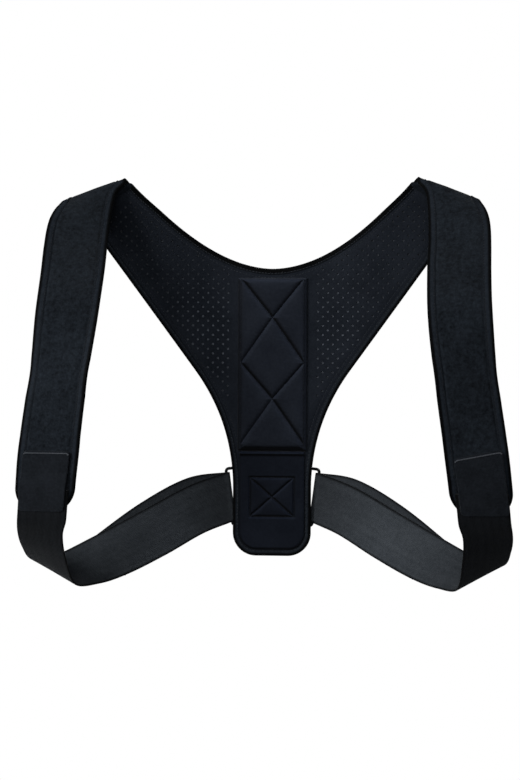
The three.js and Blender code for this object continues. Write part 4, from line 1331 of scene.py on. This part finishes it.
def tab_grid(tilt):
    """The tab on the strap's face and over the webbing's end: its lift eases from the webbing's level to
    the tape's, its corners are round, and its top edge rises outwards by the tilt."""
    length = np.linspace(0, 1, 57)
    places, fullness = rounded_shares(TAB_WIDTH, TAB_WALL, 41)
    from_end = TAB_END + TAB_LENGTH * (1 - length)
    near = STRAP_LIFT + TAB_WALL / 2
    far = near + WEB_WALL + TAB_CLEAR
    lift = mix(far, near, risen(from_end, WEB_LAP + TAB_STEP_START, TAB_STEP))
    cut = corner_cut(places, TAB_WIDTH / 2, TAB_CORNER)
    inset = cut * ((1 - length[:, None]) ** 6 - length[:, None] ** 6)
    slant = tilt * places * (1 - length[:, None])
    way = strap.from_end(from_end[:, None] - inset + slant)
    grid = strap.at(way, TAB_SHIFT + places, lift[:, None])
    from_tips = np.minimum(length / TAB_TOP_ROUND, (1 - length) / TAB_FOOT_ROUND) * TAB_LENGTH
    ends = np.sqrt(np.clip(from_tips, 0.01, 1))
    uv = np.stack(np.broadcast_arrays(places[None, :], from_end[:, None]), -1)
    return grid, TAB_WALL / 2 * fullness[None, :] * ends[:, None], uv


def tab_line(grid, row, inset):
    """A line of stitches along a row of the tab's face, short of its sides, with the face's normals."""
    normals = grid_normals(grid)[row, inset:-inset]
    return grid[row, inset:-inset] + normals * TAB_WALL * 0.52, normals


grey_lines = []
for worn_side, tilt in (("left", TAB_TILT), ("right", 0.0)):
    points, wall, uv = tab_grid(tilt)
    mesh = cloth_mesh("hook_tab_cloth_" + worn_side, points, wall, uv)
    at, up = tab_line(points, 2, 4)
    if worn_side == "right":
        mesh = mirrored(mesh, "hook_tab_cloth_right")
        at, up = at * MIRROR, up * MIRROR
    piece = dressed("hook_tab_cloth_" + worn_side, mesh, HOOK, ["hook_tab_" + worn_side], 60)
    grey_lines.append((at, up))
sewn("tab_top_stitches", grey_lines, GREY_THREAD, TAB_STITCH)


# Ring


def ring_mesh(name):
    """Round wire carried round a rectangle with rounded corners."""
    half_out, half_up = RING_BARS / 2 - RING_CORNER, RING_HEIGHT / 2 - RING_CORNER
    corners = np.repeat([[1, 1], [-1, 1], [-1, -1], [1, -1]], 12, axis=0) * [half_out, half_up]
    angle = np.concatenate([np.linspace(k, k + 1, 12) for k in range(4)]) * math.pi / 2
    away = ring_side * np.cos(angle)[:, None] + ring_up * np.sin(angle)[:, None]
    at = RING_MIDDLE + ring_side * corners[:, :1] + ring_up * corners[:, 1:] + away * RING_CORNER
    turn = np.arange(16)[:, None] * math.pi / 8
    round_wire = away[:, None] * np.cos(turn) + ring_back * np.sin(turn)
    return tube_mesh(name, at[:, None] + round_wire * RING_WIRE / 2, closed=True)


pair("wire_ring", ring_mesh("wire_ring_left"), WIRE, ["ring"], 80)


# Keeper: the solid as it is, in the webbing's outer look

keeper = bpy.data.objects["ring_keeper"]
# an even 1 for the painted light mark, so the keeper keeps its colour as it is
mark(keeper.data, "painted_web_light", np.ones(len(keeper.data.vertices)))
keeper.data.materials.clear()
keeper.data.materials.append(WEB_OUTER)


# Stage, light and camera


def white_stage():
    """A white floor and a dome round everything, which only the camera sees."""
    white = bpy.data.materials.new("white stage")
    white.use_nodes = True
    tree = white.node_tree
    tree.nodes.clear()
    glow = add(tree, "ShaderNodeEmission", {"Color": (1, 1, 1, 1), "Strength": 1.0})
    out = tree.nodes.new("ShaderNodeOutputMaterial")
    tree.links.new(glow.outputs[0], out.inputs["Surface"])
    angle = np.linspace(0, 2 * math.pi, 65)[:-1]
    height = np.linspace(-1, 1, 25)[1:-1] * math.pi / 2
    across, up = np.cos(height)[:, None], np.sin(height)[:, None]
    dome = DOME_RADIUS * point(across * np.cos(angle), across * np.sin(angle), up)
    floor = point(FLOOR_RADIUS * np.cos(angle), FLOOR_RADIUS * np.sin(angle), FLOOR_TOP)
    floor = np.stack([floor, floor - [0, 0, FLOOR_WALL]])
    for name, loops in (("dome", dome), ("floor", floor)):
        mesh = tube_mesh(name, loops)
        mesh.materials.append(white)
        piece = put(name, mesh)
        piece.visible_diffuse = piece.visible_glossy = piece.visible_shadow = False


def soft_light(name, place, target, size, power):
    """A rectangular lamp that faces its target."""
    lamp = bpy.data.lights.new(name, "AREA")
    lamp.shape = "RECTANGLE"
    lamp.size, lamp.size_y = size
    lamp.energy = power
    lamp.color = COOL
    holder = put(name, lamp)
    holder.location = place
    holder.rotation_euler = (Vector(target) - Vector(place)).to_track_quat("-Z", "Y").to_euler()


white_stage()
soft_light("key", (-1.8, -1.85, 0.7), (0, 0, -0.1), (1.2, 0.8), 37)
soft_light("front fill", (-0.1, -2.6, 0.1), (0, 0, -0.1), (1.4, 1.2), 10.5)
soft_light("top", (0.0, 0.3, 1.6), (0, 0, 0), (1.6, 1.0), 0.8)
soft_light("rear", (0.0, 2.8, 0.4), (0, 0, -0.1), (1.8, 1.2), 60)
world = bpy.data.worlds.new("soft room")
world.use_nodes = True
room = world.node_tree.nodes["Background"]
room.inputs["Color"].default_value = ROOM_COLOUR
room.inputs["Strength"].default_value = 0.07
bpy.context.scene.world = world
bpy.context.scene.view_settings.view_transform = "Standard"

lens = bpy.data.cameras.new("camera")
lens.sensor_width = SENSOR_MM
lens.lens = SENSOR_MM * CAMERA_AWAY / FRAME_HEIGHT
camera = put("camera", lens)
camera_way = np.array([math.sin(CAMERA_YAW), -math.cos(CAMERA_YAW), 0])
camera.location = CAMERA_TARGET + CAMERA_AWAY * camera_way
camera.rotation_euler = (math.pi / 2, CAMERA_ROLL, CAMERA_YAW)
bpy.context.scene.camera = camera
